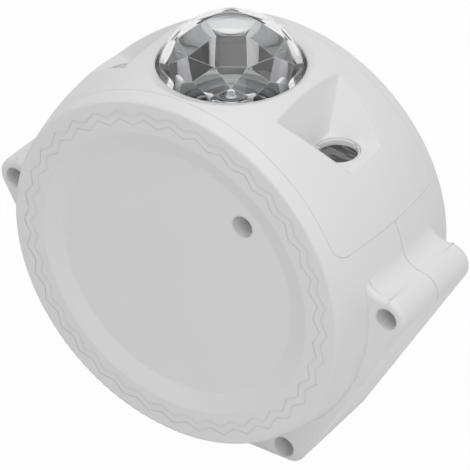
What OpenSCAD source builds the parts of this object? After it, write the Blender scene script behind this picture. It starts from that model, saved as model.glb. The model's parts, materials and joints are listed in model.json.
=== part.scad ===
// Drum-shaped star and ripple light projector that stands on two lugs
//
// The drum lies on its side along Y. Its front faces -Y and its rear face faces +Y.
// The clear dome and both star windows look up. The origin is on the table, under the middle of the body.

/* [Drum] */
// Largest radius of the barrel-shaped drum, at the parting plane
crown_r = 69.2; // [68.9:0.1:69.6]
// Radius of the crowning arc along the drum's side
crown_arc_r = 108.2; // [106:0.2:112]
// Distance from the parting plane to the rear face
rear_depth = 34.2; // [33.8:0.1:35.2]
// Distance from the parting plane to the front face
front_depth = 37; // [36.6:0.1:38]
// Rounding of the rear edge
rear_round = 1; // [0.6:0.1:1.6]
// Rounding of the front edge
front_round = 5.8; // [5:0.2:7]
// Wall thickness of the mouldings
wall = 2.2; // [2:0.1:2.3]
// Visible gap round the top panel
seam_gap = 0.08; // [0.06:0.01:0.15]
// Visible gap at the parting plane between the rear and front mouldings
parting_gap = 0.2; // [0.1:0.05:0.3]

/* [Rear face] */
// Radius of the sunken disc in the middle of the rear face
disc_r = 45.2; // [43:0.2:47]
// Radius where the dish starts to slope down to the disc
dish_r = 52.1; // [50:0.2:54]
// Depth of the sunken disc
disc_depth = 2.5; // [1.5:0.1:2.8]
// Inner radius of the zigzag line's corners
zigzag_in_r = 56.4; // [55.8:0.1:57]
// Outer radius of the zigzag line's corners
zigzag_out_r = 58.7; // [58.1:0.1:59.2]
// Width of the zigzag groove, measured along a radius
zigzag_w = 3; // [2:0.1:3.4]
// Depth of the zigzag groove
zigzag_depth = 0.25; // [0.15:0.05:0.5]
// Number of zigzag teeth round the face
zigzag_teeth = 36; // [24:1:48]

/* [Lugs and base] */
// Distance of the side lugs' centres outside the drum's crown
side_lug_out = 4.6; // [4.3:0.1:5.2]
// Height of the side lugs' centres above the drum's axis
side_lug_v = 4; // [3.4:0.1:4.6]
// Outer radius of the side lugs
side_lug_r = 6.9; // [6.6:0.1:7.2]
// Distance of the lower screws from the lower corners' centres, towards the middle
foot_screw_in = 1.8; // [1.2:0.1:2.2]
// Rounding of the two lower corners
foot_lug_r = 5.7; // [5.4:0.1:6]
// Distance of the flat sides and the base outside the drum's crown
flat_drop = 0.2; // [0.1:0.1:0.5]
// Half length of the lugs along the drum
lug_half = 20.7; // [20:0.1:21.6]
// Rounding of the lugs' end edges
lug_round = 2; // [1:0.1:2.4]
// Hollow rounding between a side lug and the drum
lug_fillet = 7.4; // [6.4:0.1:8.4]

/* [Top panel] */
// Half angle of the panel round the drum
panel_half_angle = 67.3; // [66.5:0.1:68]
// Distance from the parting plane to the panel's rear and front edges
panel_half = 29.2; // [28.8:0.1:29.6]
// Rounding of the panel's corners
panel_corner = 6; // [4:0.5:8]

/* [Dome] */
// Distance of the dome's centre in front of the parting plane
dome_front = 0.7; // [0.4:0.1:0.9]
// Outer radius of the dome's ball
dome_r = 25.2; // [25:0.1:25.4]
// Distance of the ball's centre below the drum's crown
dome_drop = 14.1; // [13.8:0.1:14.4]
// Distance of the dome hole's rim below the drum's crown
rim_drop = 5.6; // [5.4:0.1:5.7]
// Wall thickness of the dome at the facets' corners
dome_wall = 2; // [1.6:0.1:2.4]
// Radial gap between the dome and its hole
dome_gap = 0.4; // [0.3:0.05:0.5]

/* [Star windows] */
// Distance of the star windows' centres from the middle plane
star_x = 41.1; // [40.9:0.1:41.4]
// Distance of the window pockets' floors below the drum's crown
floor_drop = 24.2; // [24:0.1:24.5]
// Angle from the top to the pocket's upper edge
pocket_top_angle = 26; // [25.6:0.1:26.6]
// Half length of the pocket's upper edge along the drum
pocket_top_half = 18; // [17:0.1:18.6]
// Half length of the pocket's lower edge along the drum
pocket_low_half = 9.4; // [9.2:0.1:10]
// Distance of the floor's inner edge from the middle plane
pocket_in_x = 33.4; // [33.2:0.1:33.5]
// Half length of the floor's inner edge
pocket_in_half = 6.3; // [6.1:0.1:6.6]
// Radius of the window hole in the floor
window_r = 7.4; // [7.3:0.1:7.5]
// Wall thickness of the pockets
pocket_wall = 1.8; // [1.5:0.1:1.8]

/* [Screws] */
// Radius of the counterbores for the case screws
bore_r = 3.77; // [3.6:0.05:3.9]
// Depth of the counterbores in the lugs
lug_bore_depth = 14; // [12:0.5:15]
// Distance of the rear face's screw from the middle plane
face_screw_x = 26.1; // [25.8:0.1:26.6]
// Height of the rear face's screw above the drum's axis
face_screw_v = 27.7; // [27.4:0.1:28]
// Shank radius of the case screws
case_screw_r = 1.45; // [1.3:0.05:1.5]
// Head radius of the case screws
case_head_r = 2.8; // [2.5:0.1:3]
// Shank radius of the small screws
small_screw_r = 1.1; // [1:0.05:1.15]
// Head radius of the small screws
small_head_r = 2; // [1.8:0.1:2.1]

/* [Ripple wheel] */
// Tooth size of the ripple drive, as a gear module
wheel_module = 0.8; // [0.78:0.01:0.81]
// Teeth of the ripple wheel
wheel_teeth = 52; // [51:1:53]
// Teeth of the ripple drive's pinion
pinion_teeth = 12; // [12:1:13]
// Radius of the light tube that the ripple wheel turns on
tube_r = 15.5; // [15.2:0.1:15.8]
// Radius of the motor that turns the ripple wheel
wheel_motor_r = 6; // [5.5:0.1:6.2]

/* [Star wheels] */
// Tooth size of the star drives, as a gear module
star_module = 0.6; // [0.58:0.01:0.61]
// Teeth of a star wheel
star_teeth = 26; // [25:1:27]
// Radius of the collar that a star wheel turns on
star_collar_r = 5; // [4.8:0.1:5.1]
// Radius of the motors that turn the star wheels
star_motor_r = 4.5; // [4:0.1:4.8]
// Radius of the laser barrels
laser_r = 3; // [2.8:0.1:3.2]

/* [Speaker and buttons] */
// Outer radius of the speaker's rim
speaker_r = 26; // [25.5:0.5:26.5]
// Height of the speaker's centre above the drum's axis
speaker_v = -10.2; // [-11:0.1:-9.8]
// Radius of the speaker grille
grille_r = 25; // [24.5:0.5:25.5]
// Radius of the holes in the grille
grille_hole_r = 0.9; // [0.7:0.1:1]
// Radius of the push buttons' caps
button_r = 4.5; // [4:0.1:4.7]
// Distance between neighbouring buttons
button_pitch = 13; // [12.6:0.1:13.4]
// Height of the button row above the drum's axis
button_v = -48.2; // [-48.5:0.1:-47.8]
// Travel of a button
button_travel = 0.8; // [0.5:0.1:0.9]
// How far the buttons stand out of the front face
button_proud = 1.2; // [1.1:0.1:1.6]

/* [Feet] */
// Radius of a rubber foot
foot_r = 4; // [3:0.1:4.5]
// Depth of the pocket that a foot is glued into
foot_sink = 0.8; // [0.5:0.1:1]
// Height of a foot below the base
foot_proud = 0.6; // [0.4:0.1:1]

/* [Hidden] */
$fn = 72;

// One overrun serves all cuts, and one running clearance serves all bearings
over = 1;
run = 0.05;
// Gap between parts that are assembled loosely, and between parts that are pushed together
loose = 0.3;
snug = 0.05;

// Distance of the base and of the flat sides from the drum's axis
flat_v = crown_r + flat_drop;
axis_z = foot_proud + flat_v;
// The parting plane lies off the middle by half of the difference between front and rear
mid_y = (front_depth + button_proud - rear_depth) / 2;

// Heights of the dome's ball, of its rim and of the window floors above the drum's axis
dome_v = crown_r - dome_drop;
rim_v = crown_r - rim_drop;
floor_v = crown_r - floor_drop;

// Outline of the drum, as radius and depth from the rear face
drum_depth = rear_depth + front_depth;
arc_x = crown_r - crown_arc_r;
function end_x(round_r, face) =
    arc_x + sqrt(pow(crown_arc_r - round_r, 2) - pow(face - round_r, 2));
rear_c = [end_x(rear_round, rear_depth), rear_round];
front_c = [end_x(front_round, front_depth), drum_depth - front_round];
function touch_y(c, round_r, inset) =
    rear_depth + (c.y - rear_depth) * (crown_arc_r - inset) / (crown_arc_r - round_r);
// Outer radius of the drum at a distance y from the parting plane
function drum_r(y) = arc_x + sqrt(pow(crown_arc_r, 2) - pow(y, 2));

// Shelf under the panel's edges, and the lip at the parting plane
shelf_w = 2;
shelf_t = 1.2;
shelf_in_r = drum_r(panel_half + shelf_w) - wall - shelf_t;
lip_t = 1;
lip_len = 2;
bond = 0.3;

// Flat sides: their slope, their lower corners and the hollow above the side lugs
side_lug_x = crown_r + side_lug_out;
web_angle = atan2(side_lug_v, side_lug_x)
    + asin((flat_v - side_lug_r) / norm([side_lug_x, side_lug_v]));
web_dir = [cos(web_angle), sin(web_angle)];
web_normal = [sin(web_angle), -cos(web_angle)];
side_lug = [side_lug_x, side_lug_v];
foot_corner = (flat_v - foot_lug_r) * [tan(web_angle / 2), -1];
web_len = (side_lug - foot_corner) * web_dir;
web_start = foot_corner + foot_lug_r * web_normal;
web_deep = 14;
fillet_c = [
    sqrt(pow(crown_r + lug_fillet, 2) - pow(side_lug_v + side_lug_r + lug_fillet, 2)),
    side_lug_v + side_lug_r + lug_fillet
];
fillet_foot = fillet_c * (crown_r - wall) / (crown_r + lug_fillet);
// The hollow follows the drum's crowning, so its centre line bends inward towards the lugs' ends
fillet_end_x = sqrt(pow(drum_r(lug_half) + lug_fillet, 2) - pow(fillet_c.y, 2));
fillet_sag = fillet_c.x - fillet_end_x;
fillet_bend_r = (pow(lug_half, 2) + pow(fillet_sag, 2)) / (2 * fillet_sag);

// Case screws: places as x and height, and depths of their heads from the rear face
foot_screw = foot_corner - [foot_screw_in, 0];
lug_screws = [
    side_lug, [-side_lug_x, side_lug_v],
    foot_screw, [-foot_screw.x, foot_screw.y]
];
face_screw = [-face_screw_x, face_screw_v];
case_screw_len = 14;
case_head_t = 2;
lug_head_d = rear_depth - lug_half + lug_bore_depth;
face_boss_back = 10;
face_seat_t = 3;
face_boss_d = rear_depth - face_boss_back;
face_head_d = face_boss_d - face_seat_t;
face_boss_r = 5.6;
pillar_r = 4;
small_head_t = 1.4;
cross_w = 0.6;
cross_depth = 0.8;

// Dome seat, clamp and the dish round the dome
seat_drop = 1.6;
seat_v = rim_v - seat_drop;
hole_r = sqrt(pow(dome_r, 2) - pow(seat_v - dome_v, 2)) + dome_gap;
flange_t = 1.7;
flange_r = hole_r + 1.1;
flange_low = seat_v - flange_t;
dish_w = 4.4;
dish_rise = 1.7;
dish_h = (pow(hole_r + dish_w, 2) - pow(hole_r, 2) + pow(rim_v + dish_rise, 2) - pow(rim_v, 2))
    / (2 * dish_rise);
dish_ball_r = norm([hole_r, dish_h - rim_v]);
seat_boss_r = 28;
clamp_t = 2;
clamp_in_r = 20.4;
clamp_v = flange_low - snug - clamp_t;
post_at = 20.9;
post_r = 3.6;
post_bore_r = 2.5;
post_top = clamp_v - snug;
post_web = 6;
clamp_pilot = 2.2;

// Facets inside the dome: the rings of their corners, as heights in degrees above the ball's centre
facet_sides = 5;
facet_r = dome_r - dome_wall;
facet_turn = 16;
facet_top = 70;
facet_angles = [44.5, 29, 20.5, 2];

// Window pocket: slopes of its inner wall and of its side walls
top_edge = drum_r(pocket_top_half) * [sin(pocket_top_angle), cos(pocket_top_angle)];
low_edge_x = sqrt(pow(drum_r(pocket_low_half), 2) - pow(floor_v, 2));
in_slope = (pocket_in_x - top_edge.x) / (top_edge.y - floor_v);
flare = (pocket_low_half - pocket_in_half) / (low_edge_x - pocket_in_x);
side_slope = (pocket_top_half - pocket_in_half + flare * (pocket_in_x - top_edge.x))
    / (top_edge.y - floor_v);
function pocket_x(v, grow) = pocket_in_x - in_slope * (v - floor_v) - grow * norm([1, in_slope]);
function pocket_y(x, v, grow) = pocket_in_half + flare * (x - pocket_in_x)
    + side_slope * (v - floor_v) + grow * norm([1, flare, side_slope]);
pocket_out_x = crown_r;
pocket_out_v = crown_r + wall;

// Optic frame
optics_drop = 10.8;
plate_top = floor_v - optics_drop;
plate_t = 2;
plate_low = plate_top - plate_t;
plate_r = 30;
arm_x = 50;
arm_rear = 9;
arm_front = 17;

// Ripple wheel on its light tube
shoulder_r = tube_r + 2;
shoulder_h = 6.5;
hub_v = plate_top + shoulder_h + loose;
hub_h = 7;
hub_wall = 2;
gear_v = hub_v + 2;
gear_h = 3.5;
tube_wall = 2;
tube_h = shoulder_h + loose + hub_h - 0.5;
ripple_t = 1.5;
ripple_r = 19;
ripple_waves = 5;
mesh_gap = 0.1;
backlash = 0.2;
wheel_pitch_r = wheel_module * wheel_teeth / 2;
wheel_dist = wheel_pitch_r + wheel_module * pinion_teeth / 2 + mesh_gap;
wheel_angle = -90;
wheel_motor_len = 15;
shaft_r = 1;
shaft_sink = 6;
nose_r = 2.4;
nose_h = 1.4;

// Star drives
star_wheel_v = plate_top + loose;
star_wheel_h = 4;
star_collar_h = 3.8;
star_plate_t = 0.8;
star_plate_r = 6.4;
star_dist = star_module * (star_teeth + pinion_teeth) / 2 + mesh_gap;
star_angle = -110;
star_pinion = star_dist * [cos(star_angle), sin(star_angle)];
star_motor_len = 12;
laser_len = 16;
laser_drop = 0.5;
laser_aim_r = 1.2;
sleeve_r = laser_r + 1.5;
sleeve_len = 9;

// Window ring and window lens
ring_r = window_r - snug;
ring_drop = 0.4;
ring_len = 3.7;
ring_wall = 0.65;
lens_depth = 2;
lens_t = 1.3;
lens_r = ring_r - ring_wall - snug;
ledge_r = lens_r - 0.8;
collar_wall = 1.2;
collar_foot = 0.8;
notches = 3;
notch_turn = 54;
notch_w = 1.4;
notch_depth = 1;

// Lamp
spacer_len = 4;
spacer_r = 2.4;
spacer_at = 15.4;
sink_v = plate_low - spacer_len;
sink_r = 18;
sink_base_t = 4;
sink_h = 13.2;
fin_t = 1.4;
fin_pitch = 4.6;
lamp_board_r = 12.5;
board_t = 1.6;
led_at = 2.6;
led_w = 3.4;
led_t = 0.9;
lamp_lens_r = 9.2;
lamp_lens_h = 7.2;
lamp_cup_r = 6.6;
lamp_cup_h = 1.4;

// Main board behind the rear face
board_w = 62;
board_h = 40;
board_v = -28;
board_post_len = 4.4;
board_post_r = 3;
board_hole_in = 3.5;
board_rear_y = rear_depth - disc_depth - wall - board_post_len;
board_front_y = board_rear_y - board_t;
board_screw_len = 5;
board_pilot = 3.8;

// Speaker and grille
front_in_y = -front_depth + wall;
grille_t = 1.2;
grille_rings = 4;
grille_step = 4.6;
speaker_hole_r = 22.5;
speaker_seat = 2.4;
speaker_ear_at = 20;
ear_r = 3.2;
basket_t = 1.2;
basket_len = 10;
basket_r = 16.6;
magnet_r = 14;
magnet_len = 8;
cone_r = 21;
cone_len = 8;
speaker_y = front_in_y + speaker_seat;
basket_end = speaker_y + basket_len;
coil_r = 5;
speaker_pilot = 3.4;

// Buttons and their board
button_gap = 0.3;
flange_w = 1;
button_flange_t = 1;
stem_len = 1;
stem_r = 1.7;
flange_y = front_in_y + loose;
stem_end = flange_y + button_flange_t + stem_len;
plunger_y = stem_end + button_travel + loose;
plunger_t = 0.5;
switch_w = 6;
switch_t = 3.4;
button_board_y = plunger_y + plunger_t + switch_t;
button_board_w = 53;
button_board_h = 16.6;
button_board_v = -45.1;
button_tab_w = 9;
button_tab_v = -59.4;
button_posts = [[23, -39.8], [-23, -39.8], [0, -56.4]];
button_post_r = 2.6;
button_pilot = 4;
button_screw_len = 5;

// Power socket in the right-hand flat side
socket_y = -13;
socket_w = 9;
socket_h = 3.2;
socket_len = 8;
socket_gap = 0.15;
socket_wall = 0.4;
socket_sink = 0.4;
tongue_w = 6.4;
tongue_t = 0.7;
socket_board_w = 14;
socket_board_len = 15;
socket_board_t = 1.2;
socket_board_in = 4.4;
rail_w = 2;
rail_grip = 0.8;
rail_h = 3;
rail_len = 12;

// Feet
foot_x = 28;
foot_y = 13;

// Leads: radius, the plane they come down in, and the places of their ends
lead_r = 1.1;
bend_bulge = 0.05;
drop_gap = 3;
plug_in = 4;
drop_y = board_front_y - drop_gap;
plug_v = board_v + board_h / 2 - plug_in;
low_plug_v = board_v - board_h / 4;
motor_lead_x = -8;
motor_lead_v = 12.4;
star_lead_x = 20;
star_lead_v = 15;
speaker_lead_at = 15.3;
button_lead_x = -10;
button_lead_v = -41;
socket_lead_x = 23;

// Place parts by their distance from the middle, the parting plane and the drum's axis
module at(x, y, v) {
    translate([x, mid_y + y, axis_z + v]) children();
}
// Place parts under the dome
module at_dome(x, y, v) {
    at(x, y - dome_front, v) children();
}
// Turn the drum's own frame, with its depth along Z, to lie along Y
module in_drum() {
    at(0, rear_depth, 0) rotate([90, 0, 0]) children();
}
// Point a part along +Y, into the drum from its front
module facing_rear() {
    rotate([-90, 0, 0]) children();
}
module both_sides() {
    children();
    mirror([1, 0, 0]) children();
}

// Solid outline of the drum, set in from the outer surface
module drum_section(inset) {
    rear_y = touch_y(rear_c, rear_round, inset);
    front_y = touch_y(front_c, front_round, inset);
    intersection() {
        translate([arc_x, rear_depth]) circle(crown_arc_r - inset, $fn = 360);
        translate([0, inset]) square([crown_r, drum_depth - 2 * inset]);
        union() {
            translate([0, rear_y]) square([crown_r, front_y - rear_y]);
            square([rear_c.x, rear_depth]);
            translate([0, rear_depth]) square([front_c.x, drum_depth]);
            if (rear_round > inset) translate(rear_c) circle(rear_round - inset);
            if (front_round > inset) translate(front_c) circle(front_round - inset);
        }
    }
}

module drum(inset) {
    rotate_extrude($fn = 180) drum_section(inset);
}

// The space inside the walls, with the rear floor lowered behind the sunken disc
module drum_cavity(inset) {
    rotate_extrude($fn = 180) difference() {
        drum_section(inset);
        square([dish_r, inset + disc_depth]);
    }
}

// Plan of a wedge that opens from the drum's axis
module wedge(half_angle, reach) {
    step = half_angle / 2;
    polygon([
        [0, 0],
        for (i = [-2 : 2]) reach / cos(step) * [sin(i * step), cos(i * step)]
    ]);
}

// Cutter for one corner of the panel, round about a radial axis
module corner_cut(side, end, grow) {
    r = panel_corner + grow;
    rotate([0, 0, -side * (panel_half_angle + asin(grow / crown_r) - asin(r / crown_r))])
        translate([0, crown_r / 2, rear_depth + end * (panel_half + grow - r)])
            mirror([side < 0 ? 1 : 0, 0, 0]) mirror([0, 0, end < 0 ? 1 : 0]) difference() {
                cube([2 * r, crown_r, 2 * r]);
                translate([0, -over, 0]) rotate([-90, 0, 0]) cylinder(h = crown_r + 2 * over, r = r);
            }
}

// The block of the drum that the top panel takes up, grown by a margin all round
module panel_block(grow) {
    half = panel_half + grow;
    difference() {
        translate([0, 0, rear_depth - half]) linear_extrude(2 * half)
            wedge(panel_half_angle + asin(grow / crown_r), 2 * crown_r);
        for (side = [-1, 1], end = [-1, 1]) corner_cut(side, end, grow);
    }
}

// A bar with rounded end edges, along Z
module round_bar(r, len, edge) {
    rotate_extrude() {
        square([r - edge, len]);
        translate([0, edge]) square([r, len - 2 * edge]);
        translate([r - edge, edge]) circle(edge);
        translate([r - edge, len - edge]) circle(edge);
    }
}

// Section of a flat web whose two outer edges are rounded
module web_section(deep, len, edge) {
    translate([edge, 0]) square([deep - edge, len]);
    translate([0, edge]) square([deep, len - 2 * edge]);
    translate([edge, edge]) circle(edge);
    translate([edge, len - edge]) circle(edge);
}

// Cutter for the hollow fillet: a bent round bar with a flare that rounds each end edge
module fillet_cutter() {
    translate([fillet_c.x - fillet_bend_r, fillet_c.y, lug_half]) rotate([90, 0, 0])
        rotate_extrude($fn = 180) translate([fillet_bend_r, 0]) circle(lug_fillet);
    for (end = [0, 1]) translate([fillet_end_x, fillet_c.y, end * 2 * lug_half])
        mirror([0, 0, end]) rotate_extrude() difference() {
            translate([0, -over]) square([lug_fillet + lug_round, lug_round + over]);
            translate([lug_fillet + lug_round, lug_round]) circle(lug_round);
        }
    // From the hollow's end to the lug's own round, the end edges run straight
    for (end = [0, 1]) translate([fillet_end_x, side_lug.y + side_lug_r, end * 2 * lug_half])
        mirror([0, 0, end]) rotate([90, 0, 90]) linear_extrude(side_lug.x - fillet_end_x) difference() {
            translate([-lug_round, -over]) square([lug_round + over, lug_round + over]);
            translate([-lug_round, lug_round]) circle(lug_round);
        }
}

// One side lug, its lower corner, the flat between them and the shoulder above
module side_lugs(len) {
    translate([side_lug.x, side_lug.y, 0]) round_bar(side_lug_r, len, lug_round);
    translate([foot_corner.x, foot_corner.y, 0]) round_bar(foot_lug_r, len, lug_round);
    translate([web_start.x, web_start.y, 0]) rotate([0, 0, web_angle]) rotate([90, 0, 90])
        linear_extrude(web_len) web_section(web_deep, len, lug_round);
    difference() {
        linear_extrude(len) polygon([
            [crown_r - web_deep, side_lug.y], side_lug, [fillet_c.x, side_lug.y + side_lug_r],
            fillet_c, fillet_foot
        ]);
        fillet_cutter();
    }
}

module lugs() {
    len = 2 * lug_half;
    translate([0, 0, rear_depth - lug_half]) {
        both_sides() side_lugs(len);
        translate([-foot_corner.x, -flat_v, 0]) rotate([90, 0, 90])
            linear_extrude(2 * foot_corner.x) web_section(web_deep, len, lug_round);
    }
}

// Zigzag groove round the rear face
module zigzag_line(shift) {
    polygon([
        for (i = [0 : 2 * zigzag_teeth - 1])
            let (r = (i % 2 == 0 ? zigzag_out_r : zigzag_in_r) + shift, a = i * 180 / zigzag_teeth)
                r * [sin(a), cos(a)]
    ]);
}
module zigzag_groove() {
    translate([0, 0, -over]) linear_extrude(over + zigzag_depth) difference() {
        zigzag_line(zigzag_w / 2);
        zigzag_line(-zigzag_w / 2);
    }
}

// The dish in the rear face, with its sloping side
module face_dish() {
    slope_w = (dish_r - disc_r) / disc_depth * over;
    rotate_extrude($fn = 180) polygon([
        [0, -over], [dish_r + slope_w, -over], [disc_r, disc_depth], [0, disc_depth]
    ]);
}

// Half of the drum's frame: behind the parting plane, or in front of it
module rear_half() {
    translate([-2 * crown_r, -2 * crown_r, -over])
        cube([4 * crown_r, 4 * crown_r, over + rear_depth - parting_gap]);
}
module front_half() {
    translate([-2 * crown_r, -2 * crown_r, rear_depth])
        cube([4 * crown_r, 4 * crown_r, front_depth + over]);
}

// Empty case with its lugs and with the opening for the top panel
module case_body() {
    difference() {
        union() {
            drum(0);
            lugs();
        }
        drum_cavity(wall);
        panel_block(seam_gap);
    }
    panel_shelf();
}

// Ledge that carries the panel's edge, all round the opening
module panel_shelf() {
    difference() {
        intersection() {
            drum_cavity(wall - bond);
            panel_block(shelf_w);
        }
        drum_cavity(wall + shelf_t);
        panel_block(-shelf_w);
        cylinder(h = drum_depth, r = shelf_in_r);
        translate([0, 0, rear_depth + dome_front]) facing_rear()
            cylinder(h = crown_r, r = seat_boss_r + loose);
        difference() {
            panel_block(seam_gap);
            drum_cavity(wall + snug);
        }
    }
}

// Lip of the rear shell that reaches into the front shell
module parting_lip() {
    difference() {
        intersection() {
            drum_cavity(wall - bond);
            translate([-2 * crown_r, -2 * crown_r, rear_depth - lip_len])
                cube([4 * crown_r, 4 * crown_r, 2 * lip_len]);
        }
        drum_cavity(wall + lip_t);
        difference() {
            front_half();
            drum_cavity(wall + snug);
        }
        panel_block(shelf_w + seam_gap);
    }
}

module at_lug_screws() {
    for (p = lug_screws) translate([p.x, p.y, 0]) children();
}
module at_face_screw() {
    translate([face_screw.x, face_screw.y, 0]) children();
}
module at_feet() {
    for (x = [-1, 1], y = [-1, 1]) at(x * foot_x, y * foot_y, -flat_v) children();
}
module at_board_screws() {
    for (x = [-1, 1], v = [-1, 1])
        at(x * (board_w / 2 - board_hole_in), board_rear_y, board_v + v * (board_h / 2 - board_hole_in))
            facing_rear() children();
}
module at_speaker_screws() {
    for (x = [-1, 1], v = [-1, 1])
        at(x * speaker_ear_at, speaker_y, speaker_v + v * speaker_ear_at) facing_rear() children();
}
module at_button_posts(y) {
    for (p = button_posts) at(p.x, y, p.y) facing_rear() children();
}
module at_clamp_screws() {
    for (x = [-1, 1], y = [-1, 1]) at_dome(x * post_at, y * post_at, 0) children();
}
module at_spacers() {
    for (i = [0 : 2]) at_dome(spacer_at * cos(30 + i * 120), spacer_at * sin(30 + i * 120), 0)
        children();
}
function button_x(i) = (i - 1.5) * button_pitch;

// A screw with a round head and a cross, pointing along +Z from under its head
module screw(r, len, head_r, head_t) {
    difference() {
        union() {
            cylinder(h = len, r = r);
            translate([0, 0, -head_t]) cylinder(h = head_t, r = head_r);
        }
        for (a = [0, 90]) rotate([0, 0, a])
            translate([-head_r * 0.6, -cross_w / 2, -head_t - over])
                cube([head_r * 1.2, cross_w, over + cross_depth]);
    }
}

module rear_shell() color("white") difference() {
    union() {
        in_drum() difference() {
            intersection() {
                case_body();
                rear_half();
            }
            face_dish();
            zigzag_groove();
        }
        in_drum() parting_lip();
        in_drum() at_face_screw() translate([0, 0, disc_depth])
            cylinder(h = face_boss_d - disc_depth, r = face_boss_r);
        at_board_screws() cylinder(h = board_post_len + wall / 2, r = board_post_r);
    }
    in_drum() {
        at_lug_screws() {
            translate([0, 0, rear_depth - lug_half - over])
                cylinder(h = lug_bore_depth + over, r = bore_r);
            cylinder(h = rear_depth + over, r = case_screw_r + snug);
        }
        at_face_screw() {
            cylinder(h = face_head_d, r = bore_r);
            cylinder(h = face_boss_d + over, r = case_screw_r + snug);
        }
    }
    at_board_screws() translate([0, 0, -over])
        cylinder(h = board_pilot + over, r = small_screw_r + snug);
    at_feet() foot_pocket();
}

module foot_pocket() {
    translate([0, 0, -over]) cylinder(h = foot_sink + over, r = foot_r + snug);
}

// Frame of the power socket: X points out of the flat side and Z along the drum
module at_socket() {
    in_drum() translate([flat_v * web_normal.x, flat_v * web_normal.y, rear_depth - socket_y])
        rotate([0, 0, web_angle - 90]) children();
}
// A slot-shaped prism that runs inward from the flat side, starting at a given depth
module slot_bar(start, len, w, h) {
    translate([-start - len, 0, 0]) rotate([90, 0, 90]) linear_extrude(len) {
        square([h, w - h], center = true);
        for (z = [-1, 1]) translate([0, z * (w - h) / 2]) circle(h / 2);
    }
}
// Rails that grip the edges of the socket board
module socket_rails() {
    inner = flat_v - drum_r(socket_y) + wall / 2;
    difference() {
        for (z = [-1, 1])
            translate([
                -inner - rail_len, -socket_h / 2 - socket_board_t / 2 - rail_h / 2,
                z * (socket_board_w / 2 - rail_grip + rail_w / 2) - rail_w / 2
            ]) cube([rail_len, rail_h, rail_w]);
        translate([
            -socket_board_in - socket_board_len - over,
            -socket_h / 2 - socket_board_t - snug, -socket_board_w / 2 - snug
        ]) cube([
            socket_board_len + over + snug, socket_board_t + 2 * snug, socket_board_w + 2 * snug
        ]);
    }
}

module front_shell() color("whitesmoke") difference() {
    union() {
        in_drum() intersection() {
            case_body();
            front_half();
        }
        in_drum() at_face_screw() translate([0, 0, face_boss_d])
            cylinder(h = drum_depth - wall / 2 - face_boss_d, r = pillar_r);
        at(0, front_in_y - wall / 2, speaker_v) facing_rear()
            cylinder(h = speaker_seat + wall / 2, r = speaker_r + snug);
        at_speaker_screws() translate([0, 0, -speaker_seat - wall / 2])
            cylinder(h = speaker_seat + wall / 2, r = ear_r);
        at_button_posts(front_in_y - wall / 2)
            cylinder(h = button_board_y - front_in_y + wall / 2, r = button_post_r);
        at_socket() socket_rails();
    }
    in_drum() {
        at_lug_screws() translate([0, 0, rear_depth - over])
            cylinder(h = lug_head_d + case_screw_len + loose - rear_depth + over, r = case_screw_r + snug);
        at_face_screw() translate([0, 0, face_boss_d - over])
            cylinder(h = face_head_d + case_screw_len + loose - face_boss_d + over, r = case_screw_r + snug);
    }
    at(0, -front_depth, speaker_v) facing_rear() {
        translate([0, 0, -over]) cylinder(h = grille_t + over, r = grille_r + snug);
        cylinder(h = wall + speaker_seat + over, r = speaker_hole_r);
    }
    at_speaker_screws() translate([0, 0, -speaker_pilot])
        cylinder(h = speaker_pilot + over, r = small_screw_r + snug);
    at_button_posts(button_board_y - button_pilot)
        cylinder(h = button_pilot + over, r = small_screw_r + snug);
    for (i = [0 : 3]) at(button_x(i), -front_depth - over, button_v) facing_rear()
        cylinder(h = wall + 2 * over, r = button_r + button_gap);
    at_socket() slot_bar(-over, over + wall + socket_board_in, socket_w + 2 * socket_gap,
        socket_h + 2 * socket_gap);
    at_feet() foot_pocket();
}

// The inside or the outside of one window pocket
module pocket_body(grow) {
    lower = floor_v - grow;
    points = [
        for (v = [lower, pocket_out_v], x = [pocket_x(v, grow), pocket_out_x], s = [-1, 1])
            [x, s * pocket_y(x, v, grow), v]
    ];
    polyhedron(points, [
        [0, 2, 3, 1], [4, 5, 7, 6], [0, 1, 5, 4], [2, 6, 7, 3], [0, 4, 6, 2], [1, 3, 7, 5]
    ]);
}

module top_panel() color("ghostwhite") difference() {
    union() {
        in_drum() intersection() {
            difference() {
                drum(0);
                drum_cavity(wall);
            }
            panel_block(0);
        }
        intersection() {
            in_drum() drum(bond);
            union() {
                at_dome(0, 0, flange_low) cylinder(h = crown_r - flange_low, r = seat_boss_r);
                at_clamp_screws() translate([0, 0, flange_low])
                    cylinder(h = crown_r - flange_low, r = post_r);
                at_dome(0, 0, 0) both_sides() {
                    pocket_body(pocket_wall);
                    translate([star_x, 0, floor_v - lens_depth - lens_t - ledge_below()])
                        cylinder(h = lens_depth + lens_t + ledge_below(), r = window_r + collar_wall);
                }
            }
        }
    }
    at_dome(0, 0, flange_low - over) {
        cylinder(h = seat_v - flange_low + over, r = flange_r + dome_gap / 2);
        cylinder(h = crown_r, r = hole_r);
    }
    at_dome(0, 0, dish_h) sphere(dish_ball_r, $fn = 180);
    at_clamp_screws() translate([0, 0, flange_low - over])
        cylinder(h = clamp_pilot + over, r = small_screw_r + snug);
    at_dome(0, 0, 0) both_sides() {
        pocket_body(0);
        translate([star_x, 0, ring_low()]) cylinder(h = crown_r - ring_low(), r = window_r);
        translate([star_x, 0, ring_low() - collar_foot - over])
            cylinder(h = crown_r, r = ledge_r);
    }
}
// Height of the window ring's lower face, and of the collar below the lens
function ring_low() = floor_v - ring_drop - ring_len;
function ledge_below() = floor_v - lens_depth - lens_t - ring_low() + collar_foot;

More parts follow.
